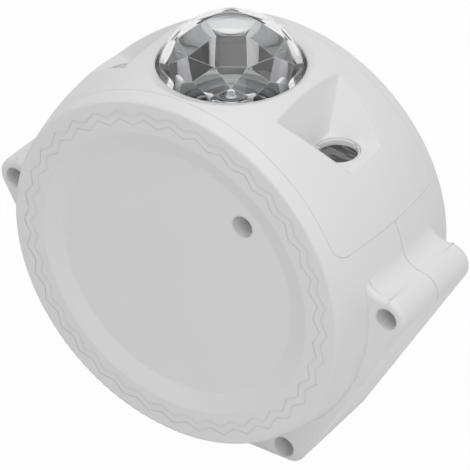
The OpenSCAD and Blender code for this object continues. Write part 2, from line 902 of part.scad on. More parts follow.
// Facets cut into the inside of the dome: five corners on top, ten in every ring below, and the
// second ring of ten turned by half a step
module facet_core() {
    half_step = 180 / facet_sides / 2;
    function corner(el, az) = facet_r * [cos(el) * cos(az), cos(el) * sin(az), sin(el)];
    points = concat(
        [for (i = [0 : facet_sides - 1]) corner(facet_top, facet_turn + 4 * i * half_step)],
        [for (k = [0 : 3], i = [0 : 2 * facet_sides - 1])
            corner(facet_angles[k], facet_turn + (2 * i + (k == 1 ? 2 : 1)) * half_step)]
    );
    function on_ring(k, i) = facet_sides * (1 + 2 * k) + (i + 2 * facet_sides) % (2 * facet_sides);
    polyhedron(points, concat(
        [[for (i = [facet_sides - 1 : -1 : 0]) i]],
        [[for (i = [0 : 2 * facet_sides - 1]) on_ring(3, i)]],
        [for (i = [0 : facet_sides - 1]) [i, on_ring(0, 2 * i), on_ring(0, 2 * i - 1)]],
        [for (i = [0 : facet_sides - 1]) [i, (i + 1) % facet_sides, on_ring(0, 2 * i)]],
        [for (i = [0 : facet_sides - 1])
            [(i + 1) % facet_sides, on_ring(0, 2 * i + 1), on_ring(0, 2 * i)]],
        [for (i = [0 : 2 * facet_sides - 1]) each [
            [on_ring(0, i), on_ring(0, i + 1), on_ring(1, i)],
            [on_ring(0, i), on_ring(1, i), on_ring(1, i - 1)],
            [on_ring(1, i - 1), on_ring(1, i), on_ring(2, i)],
            [on_ring(1, i), on_ring(2, i + 1), on_ring(2, i)],
            [on_ring(2, i), on_ring(2, i + 1), on_ring(3, i)],
            [on_ring(2, i + 1), on_ring(3, i + 1), on_ring(3, i)]
        ]]
    ));
}

module dome() color("lightcyan", 0.4) at_dome(0, 0, 0) difference() {
    union() {
        intersection() {
            translate([0, 0, dome_v]) sphere(dome_r, $fn = 128);
            translate([0, 0, flange_low]) cylinder(h = 2 * dome_r, r = 2 * dome_r);
        }
        translate([0, 0, flange_low]) cylinder(h = flange_t, r = flange_r);
    }
    translate([0, 0, dome_v]) facet_core();
}

module dome_clamp() color("dimgray") difference() {
    intersection() {
        union() {
            at_dome(0, 0, clamp_v) cylinder(h = clamp_t, r = seat_boss_r);
            at_clamp_screws() translate([0, 0, clamp_v]) cylinder(h = clamp_t, r = post_r);
        }
        in_drum() drum(wall + loose);
    }
    at_dome(0, 0, clamp_v - over) cylinder(h = clamp_t + 2 * over, r = clamp_in_r);
    at_clamp_screws() translate([0, 0, clamp_v - over])
        cylinder(h = clamp_t + 2 * over, r = small_screw_r + snug);
}

module clamp_screws() color("silver") at_clamp_screws() translate([0, 0, post_top - post_web])
    screw(small_screw_r, post_web + clamp_t + clamp_pilot - loose, small_head_r, small_head_t);

// Plate under the optics, with the posts, the light tube, the collars and the sleeves
module optic_frame() color("gray") difference() {
    union() {
        at_dome(0, 0, plate_low) {
            cylinder(h = plate_t, r = plate_r);
            translate([-arm_x, -arm_front, 0]) cube([2 * arm_x, arm_front + arm_rear, plate_t]);
        }
        at_clamp_screws() translate([0, 0, plate_low]) cylinder(h = post_top - plate_low, r = post_r);
        at_dome(0, 0, plate_top - plate_t / 2) {
            cylinder(h = tube_h + plate_t / 2, r = tube_r);
            cylinder(h = shoulder_h + plate_t / 2, r = shoulder_r);
        }
        at_dome(0, 0, plate_top - plate_t / 2) both_sides() translate([star_x, 0, 0])
            cylinder(h = star_collar_h + plate_t / 2, r = star_collar_r);
        at_dome(0, 0, plate_low - sleeve_len) both_sides() translate([star_x, 0, 0])
            cylinder(h = sleeve_len + plate_t / 2, r = sleeve_r);
        at_spacers() translate([0, 0, sink_v])
            cylinder(h = spacer_len + plate_t / 2, r = spacer_r);
    }
    at_dome(0, 0, plate_low - over) cylinder(h = tube_h + plate_t + 2 * over, r = tube_r - tube_wall);
    at_clamp_screws() {
        translate([0, 0, plate_low - over])
            cylinder(h = post_top - post_web - plate_low + over, r = post_bore_r);
        translate([0, 0, plate_low]) cylinder(h = post_top - plate_low + over, r = small_screw_r + snug);
    }
    at_dome(0, 0, plate_low - sleeve_len - over) both_sides() {
        translate([star_x, 0, 0]) cylinder(h = sleeve_len + plate_t + star_collar_h + 2 * over, r = laser_r + snug);
        translate([star_x + star_pinion.x, star_pinion.y, 0])
            cylinder(h = sleeve_len + plate_t + 2 * over, r = nose_r + snug);
    }
    at_dome(0, -wheel_dist, plate_low - over) cylinder(h = plate_t + 2 * over, r = nose_r + snug);
    in_drum() at_face_screw() cylinder(h = face_boss_d + loose, r = face_boss_r + loose);
    at_spacers() translate([0, 0, sink_v - over])
        cylinder(h = spacer_len + plate_t / 2 + over, r = small_screw_r + snug);
}

// Involute gear outline; the tooth number zero points along +X
function involute(base_r, t) = base_r * [
    cos(t) + t * PI / 180 * sin(t), sin(t) - t * PI / 180 * cos(t)
];
function turn(p, a) = [p.x * cos(a) - p.y * sin(a), p.x * sin(a) + p.y * cos(a)];
function roll_at(base_r, r) = r > base_r ? sqrt(pow(r / base_r, 2) - 1) * 180 / PI : 0;
pressure = 20;
flank_steps = 4;
module gear_outline(mod, teeth) {
    pitch_r = mod * teeth / 2;
    base_r = pitch_r * cos(pressure);
    root_r = pitch_r - mod;
    tip_r = pitch_r + 0.8 * mod;
    first = roll_at(base_r, root_r);
    last = roll_at(base_r, tip_r);
    half = 90 / teeth - (backlash / 2) / pitch_r * 180 / PI + tan(pressure) * 180 / PI - pressure;
    flank = [for (i = [0 : flank_steps]) involute(base_r, first + (last - first) * i / flank_steps)];
    low = max(root_r, base_r);
    foot = root_r < base_r ? [turn([root_r, 0], -half)] : [];
    polygon([
        for (n = [0 : teeth - 1]) each [
            for (p = foot) turn(p, n * 360 / teeth),
            for (p = flank) turn(turn(p, -half), n * 360 / teeth),
            for (i = [flank_steps : -1 : 0])
                turn([flank[i].x, -flank[i].y], half + n * 360 / teeth),
            for (p = foot) turn([p.x, -p.y], n * 360 / teeth)
        ]
    ]);
}

module ripple_wheel() color("gainsboro") at_dome(0, 0, hub_v) difference() {
    union() {
        cylinder(h = hub_h, r = tube_r + run + hub_wall);
        translate([0, 0, gear_v - hub_v]) rotate([0, 0, wheel_angle])
            linear_extrude(gear_h) gear_outline(wheel_module, wheel_teeth);
    }
    translate([0, 0, -over]) cylinder(h = hub_h + 2 * over, r = tube_r + run, $fn = 128);
}

// Clear plate with rolling ripples on its upper face
module ripple_plate() color("lightblue", 0.5) at_dome(0, 0, hub_v + hub_h) rotate_extrude() {
    square([ripple_r, ripple_t]);
    for (i = [1 : ripple_waves]) translate([(i - 0.5) * ripple_r / ripple_waves, ripple_t])
        circle(ripple_r / ripple_waves / 4);
}

// A pinion on its own shaft, which reaches down into a motor
module pinion(mod, angle, low, height) {
    translate([0, 0, low]) rotate([0, 0, angle + 180 + 180 / pinion_teeth])
        linear_extrude(height) gear_outline(mod, pinion_teeth);
    translate([0, 0, plate_low - shaft_sink])
        cylinder(h = low - plate_low + shaft_sink + height / 2, r = shaft_r);
}
// A motor with its locating nose and the bore that its shaft turns in
module motor(r, len) {
    translate([0, 0, plate_low]) difference() {
        union() {
            translate([0, 0, -len]) cylinder(h = len, r = r);
            translate([0, 0, -over]) cylinder(h = nose_h + over, r = nose_r);
        }
        translate([0, 0, -shaft_sink - loose])
            cylinder(h = shaft_sink + loose + nose_h + over, r = shaft_r + run);
    }
}

module wheel_pinion() color("khaki") at_dome(0, -wheel_dist, 0)
    pinion(wheel_module, wheel_angle, gear_v, gear_h);
module wheel_motor() color("silver") at_dome(0, -wheel_dist, 0)
    motor(wheel_motor_r, wheel_motor_len);

// One lens over the light-emitting chips, with a cup that clears them
module lamp_lens() color("azure", 0.6) at_dome(0, 0, sink_v + board_t) difference() {
    cylinder(h = lamp_lens_h, r = lamp_lens_r);
    translate([0, 0, -over]) cylinder(h = lamp_cup_h + over, r = lamp_cup_r);
}

module lamp_board() color("beige") {
    at_dome(0, 0, sink_v) cylinder(h = board_t, r = lamp_board_r);
    for (x = [-1, 1], y = [-1, 1])
        at_dome(x * led_at - led_w / 2, y * led_at - led_w / 2, sink_v + board_t - snug)
            cube([led_w, led_w, led_t + snug]);
}

module heat_sink() color("silver") difference() {
    at_dome(0, 0, sink_v - sink_h) intersection() {
        cylinder(h = sink_h, r = sink_r);
        union() {
            translate([-sink_r, -sink_r, sink_h - sink_base_t])
                cube([2 * sink_r, 2 * sink_r, sink_base_t]);
            for (i = [-3 : 3]) translate([i * fin_pitch - fin_t / 2, -sink_r, 0])
                cube([fin_t, 2 * sink_r, sink_h]);
        }
    }
    at_spacers() {
        translate([0, 0, sink_v - sink_h - over])
            cylinder(h = sink_h - sink_base_t + over, r = small_head_r + loose);
        translate([0, 0, sink_v - sink_h]) cylinder(h = sink_h + over, r = small_screw_r + snug);
    }
}

module heat_sink_screws() color("silver") at_spacers() translate([0, 0, sink_v - sink_base_t])
    screw(small_screw_r, sink_base_t + spacer_len + plate_t / 2 - loose, small_head_r, small_head_t);

// Parts of the star window on one side: +1 is the right-hand side seen from the front
module at_star(side, v) {
    at_dome(side * star_x, 0, v) mirror([side < 0 ? 1 : 0, 0, 0]) children();
}

module window_ring(side) {
    at_star(side, ring_low()) difference() {
        cylinder(h = ring_len, r = ring_r);
        translate([0, 0, floor_v - lens_depth - lens_t - ring_low() - snug])
            cylinder(h = ring_len, r = ring_r - ring_wall);
        translate([0, 0, -over]) cylinder(h = ring_len, r = ledge_r);
        for (i = [0 : notches - 1]) rotate([0, 0, notch_turn + i * 360 / notches])
            translate([ring_r - ring_wall, -notch_w / 2, ring_len - notch_depth])
                cube([ring_wall + over, notch_w, notch_depth + over]);
    }
}
module left_window_ring() color("lavender") window_ring(-1);
module right_window_ring() color("lavender") window_ring(1);

module window_lens(side) {
    at_star(side, floor_v - lens_depth - lens_t) cylinder(h = lens_t, r = lens_r);
}
module left_window_lens() color("darkslategray", 0.7) window_lens(-1);
module right_window_lens() color("darkslategray", 0.7) window_lens(1);

module star_wheel(side) {
    at_star(side, star_wheel_v) difference() {
        rotate([0, 0, star_angle]) linear_extrude(star_wheel_h) gear_outline(star_module, star_teeth);
        translate([0, 0, -over]) cylinder(h = star_wheel_h + 2 * over, r = star_collar_r + run);
    }
}
module left_star_wheel() color("gainsboro") star_wheel(-1);
module right_star_wheel() color("gainsboro") star_wheel(1);

module star_plate(side) {
    at_star(side, star_wheel_v + star_wheel_h) cylinder(h = star_plate_t, r = star_plate_r);
}
module left_star_plate() color("lightblue", 0.5) star_plate(-1);
module right_star_plate() color("lightblue", 0.5) star_plate(1);

module at_star_pinion(side) {
    at_star(side, 0) translate([star_pinion.x, star_pinion.y, 0]) children();
}
module left_star_pinion() color("khaki") at_star_pinion(-1)
    pinion(star_module, star_angle, star_wheel_v, star_wheel_h);
module right_star_pinion() color("khaki") at_star_pinion(1)
    pinion(star_module, star_angle, star_wheel_v, star_wheel_h);
module left_star_motor() color("silver") at_star_pinion(-1) motor(star_motor_r, star_motor_len);
module right_star_motor() color("silver") at_star_pinion(1) motor(star_motor_r, star_motor_len);

module laser(side) {
    at_star(side, plate_top - laser_drop - laser_len) difference() {
        cylinder(h = laser_len, r = laser_r);
        translate([0, 0, laser_len - laser_aim_r]) cylinder(h = laser_len, r = laser_aim_r);
    }
}
module left_laser() color("goldenrod") laser(-1);
module right_laser() color("goldenrod") laser(1);

// Main board: its parts sit on the front side
module main_board() color("seagreen") difference() {
    union() {
        at(-board_w / 2, board_front_y, board_v - board_h / 2) cube([board_w, board_t, board_h]);
        at(-chip_w / 2, board_front_y - chip_t, board_v - chip_w / 2)
            cube([chip_w, chip_t + snug, chip_w]);
        for (x = [-1, 1]) at(x * can_x, board_front_y + snug, board_v + can_drop) rotate([90, 0, 0])
            cylinder(h = can_len + snug, r = can_r);
    }
    at_board_screws() translate([0, 0, -board_t - over])
        cylinder(h = board_t + 2 * over, r = small_screw_r + snug);
}
chip_w = 9;
chip_t = 1.6;
can_x = 13;
can_drop = -2;
can_r = 3.2;
can_len = 8;

module board_screws() color("silver") at_board_screws() translate([0, 0, -board_t])
    screw(small_screw_r, board_screw_len, small_head_r, small_head_t);

// Speaker: rim with ears, open basket, magnet and cone
module speaker_frame() color("dimgray") difference() {
    union() {
        at(0, speaker_y, speaker_v) facing_rear() rotate_extrude() polygon([
            [speaker_hole_r - basket_t, 0], [speaker_r, 0], [speaker_r, basket_t],
            [speaker_hole_r, basket_t], [basket_r, basket_len], [coil_r + basket_t, basket_len],
            [coil_r + basket_t, basket_len - basket_t], [basket_r - basket_t, basket_len - basket_t],
            [speaker_hole_r - basket_t, basket_t]
        ]);
        at_speaker_screws() cylinder(h = basket_t, r = ear_r);
    }
    at_speaker_screws() translate([0, 0, -over])
        cylinder(h = basket_t + 2 * over, r = small_screw_r + snug);
    for (a = [0 : 90 : 270]) at(0, speaker_y + basket_t + basket_len / 2, speaker_v)
        rotate([0, a, 0]) translate([speaker_hole_r - basket_t, 0, 0]) rotate([0, 90, 0])
            cylinder(h = 4 * basket_len, r = basket_len * 0.3, center = true);
}

module speaker_magnet() color("gray") at(0, basket_end, speaker_v) facing_rear()
    cylinder(h = magnet_len, r = magnet_r);

module speaker_cone() color("black") at(0, speaker_y, speaker_v) facing_rear() {
    rotate_extrude() polygon([
        [cone_r, loose], [cone_r, loose + cone_wall], [coil_r, cone_len + cone_wall],
        [0, cone_len + cone_wall], [0, cone_len], [coil_r - cone_wall, cone_len]
    ]);
    translate([0, 0, cone_len]) cylinder(h = basket_len - cone_len, r = coil_r - cone_wall);
}
cone_wall = 0.8;

module speaker_grille() color("gainsboro") at(0, -front_depth, speaker_v) facing_rear() difference() {
    cylinder(h = grille_t, r = grille_r);
    translate([0, 0, -over]) cylinder(h = grille_t + 2 * over, r = grille_hole_r);
    for (k = [1 : grille_rings], i = [0 : 6 * k - 1]) rotate([0, 0, i * 60 / k])
        translate([k * grille_step, 0, -over])
            cylinder(h = grille_t + 2 * over, r = grille_hole_r, $fn = 24);
}

module speaker_screws() color("silver") at_speaker_screws() translate([0, 0, basket_t])
    mirror([0, 0, 1]) screw(small_screw_r, basket_t + speaker_pilot - loose, small_head_r, small_head_t);

// Button board with four short-stroke switches
module button_board() color("seagreen") difference() {
    union() {
        at(-button_board_w / 2, button_board_y, button_board_v - button_board_h / 2)
            cube([button_board_w, board_t, button_board_h]);
        at(-button_tab_w / 2, button_board_y, button_tab_v)
            cube([button_tab_w, board_t, button_board_v - button_tab_v]);
        for (i = [0 : 3]) {
            at(button_x(i) - switch_w / 2, button_board_y - switch_t, button_v - switch_w / 2)
                cube([switch_w, switch_t + snug, switch_w]);
            at(button_x(i), plunger_y, button_v) facing_rear()
                cylinder(h = plunger_t + snug, r = plunger_r);
        }
    }
    at_button_posts(button_board_y - over) cylinder(h = board_t + 2 * over, r = small_screw_r + snug);
}
plunger_r = 1.5;

module button_board_screws() color("silver") at_button_posts(button_board_y + board_t)
    mirror([0, 0, 1]) screw(small_screw_r, button_screw_len, small_head_r, small_head_t);

// A push button with a flange behind the wall and a stem for its switch
module button(i) {
    at(button_x(i), -front_depth - button_proud, button_v) facing_rear() {
        difference() {
            cylinder(h = flange_y + front_depth + button_proud, r = button_r);
            sphere_r = 2 * button_r;
            translate([0, 0, button_dish - sphere_r]) sphere(sphere_r);
        }
        translate([0, 0, flange_y + front_depth + button_proud])
            cylinder(h = button_flange_t, r = button_r + flange_w);
        translate([0, 0, flange_y + front_depth + button_proud])
            cylinder(h = button_flange_t + stem_len, r = stem_r);
    }
}
button_dish = 0.6;
module power_button() color("white") button(0);
module light_button() color("white") button(1);
module star_button() color("white") button(2);
module sound_button() color("white") button(3);

// Socket with its tongue, on a board between two rails
module power_socket() color("silver") at_socket() {
    difference() {
        slot_bar(socket_sink, socket_len, socket_w, socket_h);
        slot_bar(-over, socket_sink + socket_len, socket_w - 2 * socket_wall, socket_h - 2 * socket_wall);
    }
    translate([-socket_sink - socket_len, -tongue_t / 2, -tongue_w / 2])
        cube([socket_len - over, tongue_t, tongue_w]);
}

module socket_board() color("seagreen") at_socket()
    translate([
        -socket_board_in - socket_board_len, -socket_h / 2 - socket_board_t, -socket_board_w / 2
    ]) cube([socket_board_len, socket_board_t, socket_board_w]);

module case_screws() color("silver") in_drum() {
    at_lug_screws() translate([0, 0, lug_head_d])
        screw(case_screw_r, case_screw_len, case_head_r, case_head_t);
    at_face_screw() translate([0, 0, face_head_d])
        screw(case_screw_r, case_screw_len, case_head_r, case_head_t);
}

module foot(x, y) {
    at(x * foot_x, y * foot_y, -flat_v - foot_proud) cylinder(h = foot_proud + foot_sink, r = foot_r);
}
module left_rear_foot() color("dimgray") foot(-1, 1);
module right_rear_foot() color("dimgray") foot(1, 1);
module left_front_foot() color("dimgray") foot(-1, -1);
module right_front_foot() color("dimgray") foot(1, -1);

// A flexible lead through a row of points, round at its bends and flat at its ends
module lead(points) {
    for (i = [0 : len(points) - 2]) {
        d = points[i + 1] - points[i];
        at(points[i].x, points[i].y, points[i].z)
            rotate([0, acos(d.z / norm(d)), atan2(d.y, d.x)]) cylinder(h = norm(d), r = lead_r);
    }
    for (i = [1 : len(points) - 2]) at(points[i].x, points[i].y, points[i].z)
        sphere(lead_r + bend_bulge);
}
function to_plug(x, v) = [[x, drop_y, v], [x, board_front_y, v]];

lamp_lead_r = (lamp_lens_r + lamp_board_r) / 2;
lamp_lead_v = sink_v + board_t + lead_r + snug;
module lamp_lead() color("darkred") lead(concat([
    [0, lamp_lead_r - dome_front, sink_v + board_t],
    [0, lamp_lead_r - dome_front, lamp_lead_v],
    [0, drop_y, lamp_lead_v]
], to_plug(0, plug_v)));

module wheel_motor_lead() color("darkblue") lead(concat([
    [0, -wheel_dist - dome_front, plate_low - wheel_motor_len],
    [0, -wheel_dist - dome_front, motor_lead_v],
    [motor_lead_x, drop_y, motor_lead_v]
], to_plug(motor_lead_x, plug_v)));

// The laser's lead and its motor's lead run together to the board
module star_lead(side) {
    laser_x = side * star_x;
    lead(concat([
        [laser_x, -dome_front, plate_top - laser_drop - laser_len],
        [laser_x, -dome_front, star_lead_v],
        [side * star_lead_x, drop_y, plug_v + lead_r]
    ], [[side * star_lead_x, board_front_y, plug_v + lead_r]]));
    lead([
        [laser_x + side * star_pinion.x, star_pinion.y - dome_front, plate_low - star_motor_len],
        [laser_x + side * star_pinion.x, star_pinion.y - dome_front, star_lead_v],
        [laser_x, -dome_front, star_lead_v]
    ]);
}
module left_star_lead() color("darkgreen") star_lead(-1);
module right_star_lead() color("darkgreen") star_lead(1);

module speaker_lead() color("dimgray") lead([
    [speaker_lead_at, basket_end, speaker_v],
    [speaker_lead_at, drop_y, plug_v],
    [speaker_lead_at, board_front_y, plug_v]
]);

module button_lead() color("dimgray") lead([
    [button_lead_x, button_board_y + board_t, button_lead_v],
    [button_lead_x, drop_y, low_plug_v],
    [button_lead_x, board_front_y, low_plug_v]
]);

// The socket's lead leaves the inner edge of its board
socket_end = (flat_v - socket_board_in - socket_board_len) * web_normal
    - (socket_h + socket_board_t) / 2 * web_dir;
socket_lead_len = 3;
socket_turn = socket_end - socket_lead_len * web_normal;
module socket_lead() color("dimgray") lead([
    [socket_end.x, socket_y, socket_end.y],
    [socket_turn.x, socket_y, socket_turn.y],
    [socket_lead_x, drop_y, low_plug_v],
    [socket_lead_x, board_front_y, low_plug_v]
]);

rear_shell();
front_shell();
top_panel();
dome();
dome_clamp();
clamp_screws();
optic_frame();
ripple_wheel();
ripple_plate();
wheel_pinion();
wheel_motor();
lamp_lens();
lamp_board();
heat_sink();
heat_sink_screws();
left_window_ring();
right_window_ring();
left_window_lens();
right_window_lens();
left_star_wheel();
right_star_wheel();
left_star_plate();
right_star_plate();
left_star_pinion();
right_star_pinion();
left_star_motor();
right_star_motor();
left_laser();
right_laser();
main_board();
board_screws();
speaker_frame();
speaker_magnet();
speaker_cone();
speaker_grille();
speaker_screws();
button_board();
button_board_screws();
power_button();
light_button();
star_button();
sound_button();
power_socket();
socket_board();
case_screws();
left_rear_foot();
right_rear_foot();
left_front_foot();
right_front_foot();
lamp_lead();
wheel_motor_lead();
left_star_lead();
right_star_lead();
speaker_lead();
button_lead();
socket_lead();
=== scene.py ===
# %% [markdown]
# A drum-shaped night-light projector, seen from behind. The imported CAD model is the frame:
# it holds every rigid piece at its real size and place. This lesson dresses it. It keeps the
# mouldings, whose shapes are exact, and gives them a moulded finish; it models the pieces that
# need rounder or finer forms than the CAD holds, and puts each one where its CAD solid is.

# %% Load the frame
import json
import math
import bmesh
import bpy
from mathutils import Matrix, Vector


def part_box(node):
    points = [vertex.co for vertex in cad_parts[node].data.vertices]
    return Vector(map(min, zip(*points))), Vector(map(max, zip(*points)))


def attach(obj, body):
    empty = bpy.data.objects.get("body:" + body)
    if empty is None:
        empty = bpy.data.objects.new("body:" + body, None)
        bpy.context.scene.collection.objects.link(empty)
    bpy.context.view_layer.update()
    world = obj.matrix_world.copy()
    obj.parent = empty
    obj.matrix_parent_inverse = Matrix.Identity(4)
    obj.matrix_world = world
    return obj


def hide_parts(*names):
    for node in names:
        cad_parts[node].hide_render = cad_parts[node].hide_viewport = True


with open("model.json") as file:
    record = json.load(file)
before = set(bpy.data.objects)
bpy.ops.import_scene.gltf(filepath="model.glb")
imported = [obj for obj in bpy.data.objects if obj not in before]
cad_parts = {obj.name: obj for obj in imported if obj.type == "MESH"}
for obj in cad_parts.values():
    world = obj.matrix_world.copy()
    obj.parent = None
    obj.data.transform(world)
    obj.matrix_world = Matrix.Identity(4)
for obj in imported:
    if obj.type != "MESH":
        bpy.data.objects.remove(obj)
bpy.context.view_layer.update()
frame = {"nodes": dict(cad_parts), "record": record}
nodes = frame["nodes"]
slot_of = {part["node"]: part["material_slot"] for part in frame["record"]["subparts"]}
colour_of = {entry["slot"]: entry["base_color"] for entry in frame["record"]["materials"]}

# %% [markdown]
# The photograph is taken from behind the projector, above it and to its left, with a long
# lens, so the drum's rear face shows as a wide ellipse and the top as a narrow one. Setting the
# camera first means that every later choice can be checked against the photograph. Its place
# is given by a direction and a distance from a target inside the drum.

# %% Camera
TARGET = Vector((-0.00212, 0.0022, 0.06782))
TOWARDS_CAMERA = Vector((-0.4624, 0.6865, 0.5612)).normalized()
CAMERA_DISTANCE = 1.088
LENS_MM = 249.84
SENSOR_MM = 36.0

camera_data = bpy.data.cameras.new("camera")
camera_data.lens = LENS_MM
camera_data.sensor_width = SENSOR_MM
camera_data.clip_start = 0.05
camera_data.clip_end = 20
camera = bpy.data.objects.new("camera", camera_data)
bpy.context.scene.collection.objects.link(camera)
camera.location = TARGET + TOWARDS_CAMERA * CAMERA_DISTANCE
camera.rotation_mode = "QUATERNION"
camera.rotation_quaternion = (-TOWARDS_CAMERA).to_track_quat("-Z", "Y")
bpy.context.scene.camera = camera
print("camera at", [round(c, 3) for c in camera.location])

# %% [markdown]
# Every finish is built from shader nodes. Sums on sockets are written as plain Python, so that
# a pattern reads as a formula: a small class wraps a socket, and an operator between two of
# them adds the Math node that works it out.

# %% Sums on sockets
class Value:
    def __init__(self, finish, socket):
        self.finish = finish
        self.socket = socket

    def sum(self, operation, first, second):
        return self.finish.node("ShaderNodeMath", {"operation": operation}, {0: first, 1: second})

    def __add__(self, other):
        return self.sum("ADD", self, other)

    def __sub__(self, other):
        return self.sum("SUBTRACT", self, other)

    def __rsub__(self, other):
        return self.sum("SUBTRACT", other, self)

    def __mul__(self, other):
        return self.sum("MULTIPLY", self, other)

    def __gt__(self, other):
        return self.sum("GREATER_THAN", self, other)

    def __lt__(self, other):
        return self.sum("LESS_THAN", self, other)

    def size(self):
        return self.sum("ABSOLUTE", self, 0)

    __radd__ = __add__
    __rmul__ = __mul__


# %% One finish, and the patterns that all finishes share
class Finish:
    def __init__(self, name, material=None):
        self.material = material or bpy.data.materials.new(name)
        self.material.use_nodes = True
        self.tree = self.material.node_tree
        self.tree.nodes.clear()

    def node(self, kind, settings=None, inputs=None, out=0):
        made = self.tree.nodes.new(kind)
        for key, setting in (settings or {}).items():
            if key == "stops":
                ends = made.color_ramp.elements
                while len(ends) < len(setting):
                    ends.new(1)
                for end, (place, shade) in zip(ends, setting):
                    end.position = place
                    end.color = (shade, shade, shade, 1)
            else:
                setattr(made, key, setting)
        for key, value in (inputs or {}).items():
            if isinstance(value, Value):
                self.tree.links.new(value.socket, made.inputs[key])
            else:
                made.inputs[key].default_value = value
        return Value(self, made.outputs[out]) if made.outputs else None

    def place(self):
        return self.node("ShaderNodeTexCoord", out="Object")

    def along(self, axis):
        return self.node("ShaderNodeSeparateXYZ", inputs={0: self.place()}, out=axis)

    def noise(self, size, detail=2, roughness=0.5):
        return self.node("ShaderNodeTexNoise", {}, {
            "Vector": self.place(), "Scale": 1 / size, "Detail": detail, "Roughness": roughness,
        })

    def cells(self, size):
        return self.node("ShaderNodeTexVoronoi", {}, {"Vector": self.place(), "Scale": 1 / size})

    def fade(self, value, low, high, to_low=0, to_high=1):
        return self.node("ShaderNodeMapRange", {}, {
            "Value": value, "From Min": low, "From Max": high, "To Min": to_low, "To Max": to_high,
        })

    def blend(self, factor, first, second):
        return self.node("ShaderNodeMix", {"data_type": "RGBA"}, {
            0: factor, 6: first, 7: second,
        }, out=2)

    def bump(self, height, depth, strength=1, normal=None):
        inputs = {"Height": height, "Distance": depth, "Strength": strength}
        if normal:
            inputs["Normal"] = normal
        return self.node("ShaderNodeBump", {}, inputs)

    def round_edges(self, radius):
        return self.node("ShaderNodeBevel", {"samples": 6}, {"Radius": radius})

    def surface(self, **inputs):
        named = {key.replace("_", " "): value for key, value in inputs.items()}
        shader = self.node("ShaderNodeBsdfPrincipled", {}, named)
        self.node("ShaderNodeOutputMaterial", {}, {"Surface": shader})
        return self.material


def paint(colour, level=1.0):
    return tuple(part * level for part in colour[:3]) + (1.0,)


print("finish helpers ready")

# %% [markdown]
# The mouldings are white ABS with a fine spark-eroded texture, and so are the buttons and the
# grille. Sharp CAD edges would look cut from sheet, so a Bevel node turns the shading round
# them as a moulding's edge does, and a fine noise gives the satin grain. The colour wanders by
# a hundredth or two, as a big flat moulding's does, and the roughness wanders a little too.

# %% Moulded plastic
def moulded(name, colour, roughness, grain=0.00035, depth=0.000006, edge=0.0005):
    f = Finish(name)
    drift = f.noise(0.03, 3)
    speck = f.noise(grain, 2, 0.6)
    shade = f.blend(f.fade(drift, 0.35, 0.65), paint(colour, 0.985), paint(colour))
    polish = f.fade(f.noise(0.012, 4), 0.4, 0.7, -0.03, 0.04) + roughness
    rounded = f.round_edges(edge)
    return f.surface(
        Base_Color=shade, Roughness=polish, Specular_IOR_Level=0.42,
        Normal=f.bump(speck, depth, 0.6, rounded),
    )


# %% [markdown]
# The case has two kinds of edge. Its rims, lugs and pockets are broad and soft, and the seams
# between the mouldings are fine and sharp. A mask on the place in the case chooses between a
# wide and a narrow rounding, and the two normals are mixed by it.

# %% The case's own finish
PARTING_Y = 0.002


def case_plastic(name, colour, roughness):
    f = Finish(name)
    from_parting = (f.along(1) - PARTING_Y).size()
    height = f.along(2)
    ends = from_parting > 0.0315
    sides = (height < 0.094) * (from_parting > 0.003)
    around_dome = (height > 0.099) * (from_parting < 0.0277)
    broad = f.node("ShaderNodeMix", {"data_type": "VECTOR"}, {
        0: ends + sides + around_dome, 4: f.round_edges(0.0001), 5: f.round_edges(0.0011),
    }, out=1)
    shade = f.blend(f.fade(f.noise(0.03, 3), 0.35, 0.65), paint(colour, 0.985), paint(colour))
    speck = f.noise(0.00035, 2, 0.6)
    return f.surface(
        Base_Color=shade, Specular_IOR_Level=0.42,
        Roughness=f.fade(f.noise(0.012, 4), 0.4, 0.7, -0.03, 0.04) + roughness,
        Normal=f.bump(speck, 0.000006, 0.6, broad),
    )


# %% [markdown]
# Clear plastic is a solid transmissive shader with a real index of refraction, and it lets the
# lamps' light straight through to what it covers. The windows' lenses are almost black until a
# laser shines; pale streaks are painted into their colour, a painted reflection of the room.

# %% Clear plastics
def clear(name, colour, roughness=0.0, index=1.49):
    f = Finish(name)
    haze = f.fade(f.noise(0.006, 3), 0.45, 0.75, 0, 0.02) + roughness
    glass = f.node("ShaderNodeBsdfPrincipled", {}, {
        "Base Color": paint(colour), "Roughness": haze, "IOR": index, "Transmission Weight": 1.0,
    })
    open_way = f.node("ShaderNodeBsdfTransparent", {}, {"Color": paint(colour)})
    in_shadow = f.node("ShaderNodeLightPath", out="Is Shadow Ray")
    mixed = f.node("ShaderNodeMixShader", {}, {0: in_shadow, 1: glass, 2: open_way})
    f.node("ShaderNodeOutputMaterial", {}, {"Surface": mixed})
    return f.material


def tinted_with_painted_reflection(name, colour):
    f = Finish(name)
    drawn = f.node("ShaderNodeMapping", {}, {
        "Vector": f.place(), "Rotation": (0, 0, -0.6), "Scale": (1, 4, 1),
    })
    # Pale streaks painted into the dark lens colour: a painted reflection of the bright room.
    painted_reflection_streak = f.node("ShaderNodeTexNoise", {}, {"Vector": drawn, "Scale": 110.0, "Detail": 1})
    return f.surface(
        Base_Color=f.blend(f.fade(painted_reflection_streak, 0.5, 0.6), paint(colour), paint(colour, 8)), IOR=1.5,
        Roughness=f.fade(f.noise(0.004, 3), 0.3, 0.7, 0.06, 0.14), Specular_IOR_Level=0.6,
        Normal=f.bump(f.noise(0.004, 1), 0.0004, 0.5),
    )


# %% [markdown]
# Metals get their colour through the metallic shader. A drawn can and a turned barrel carry
# fine lines along or round them, a plated screw carries small stains, and the pressed speaker
# basket is painted black with the orange-peel of a thick coat.

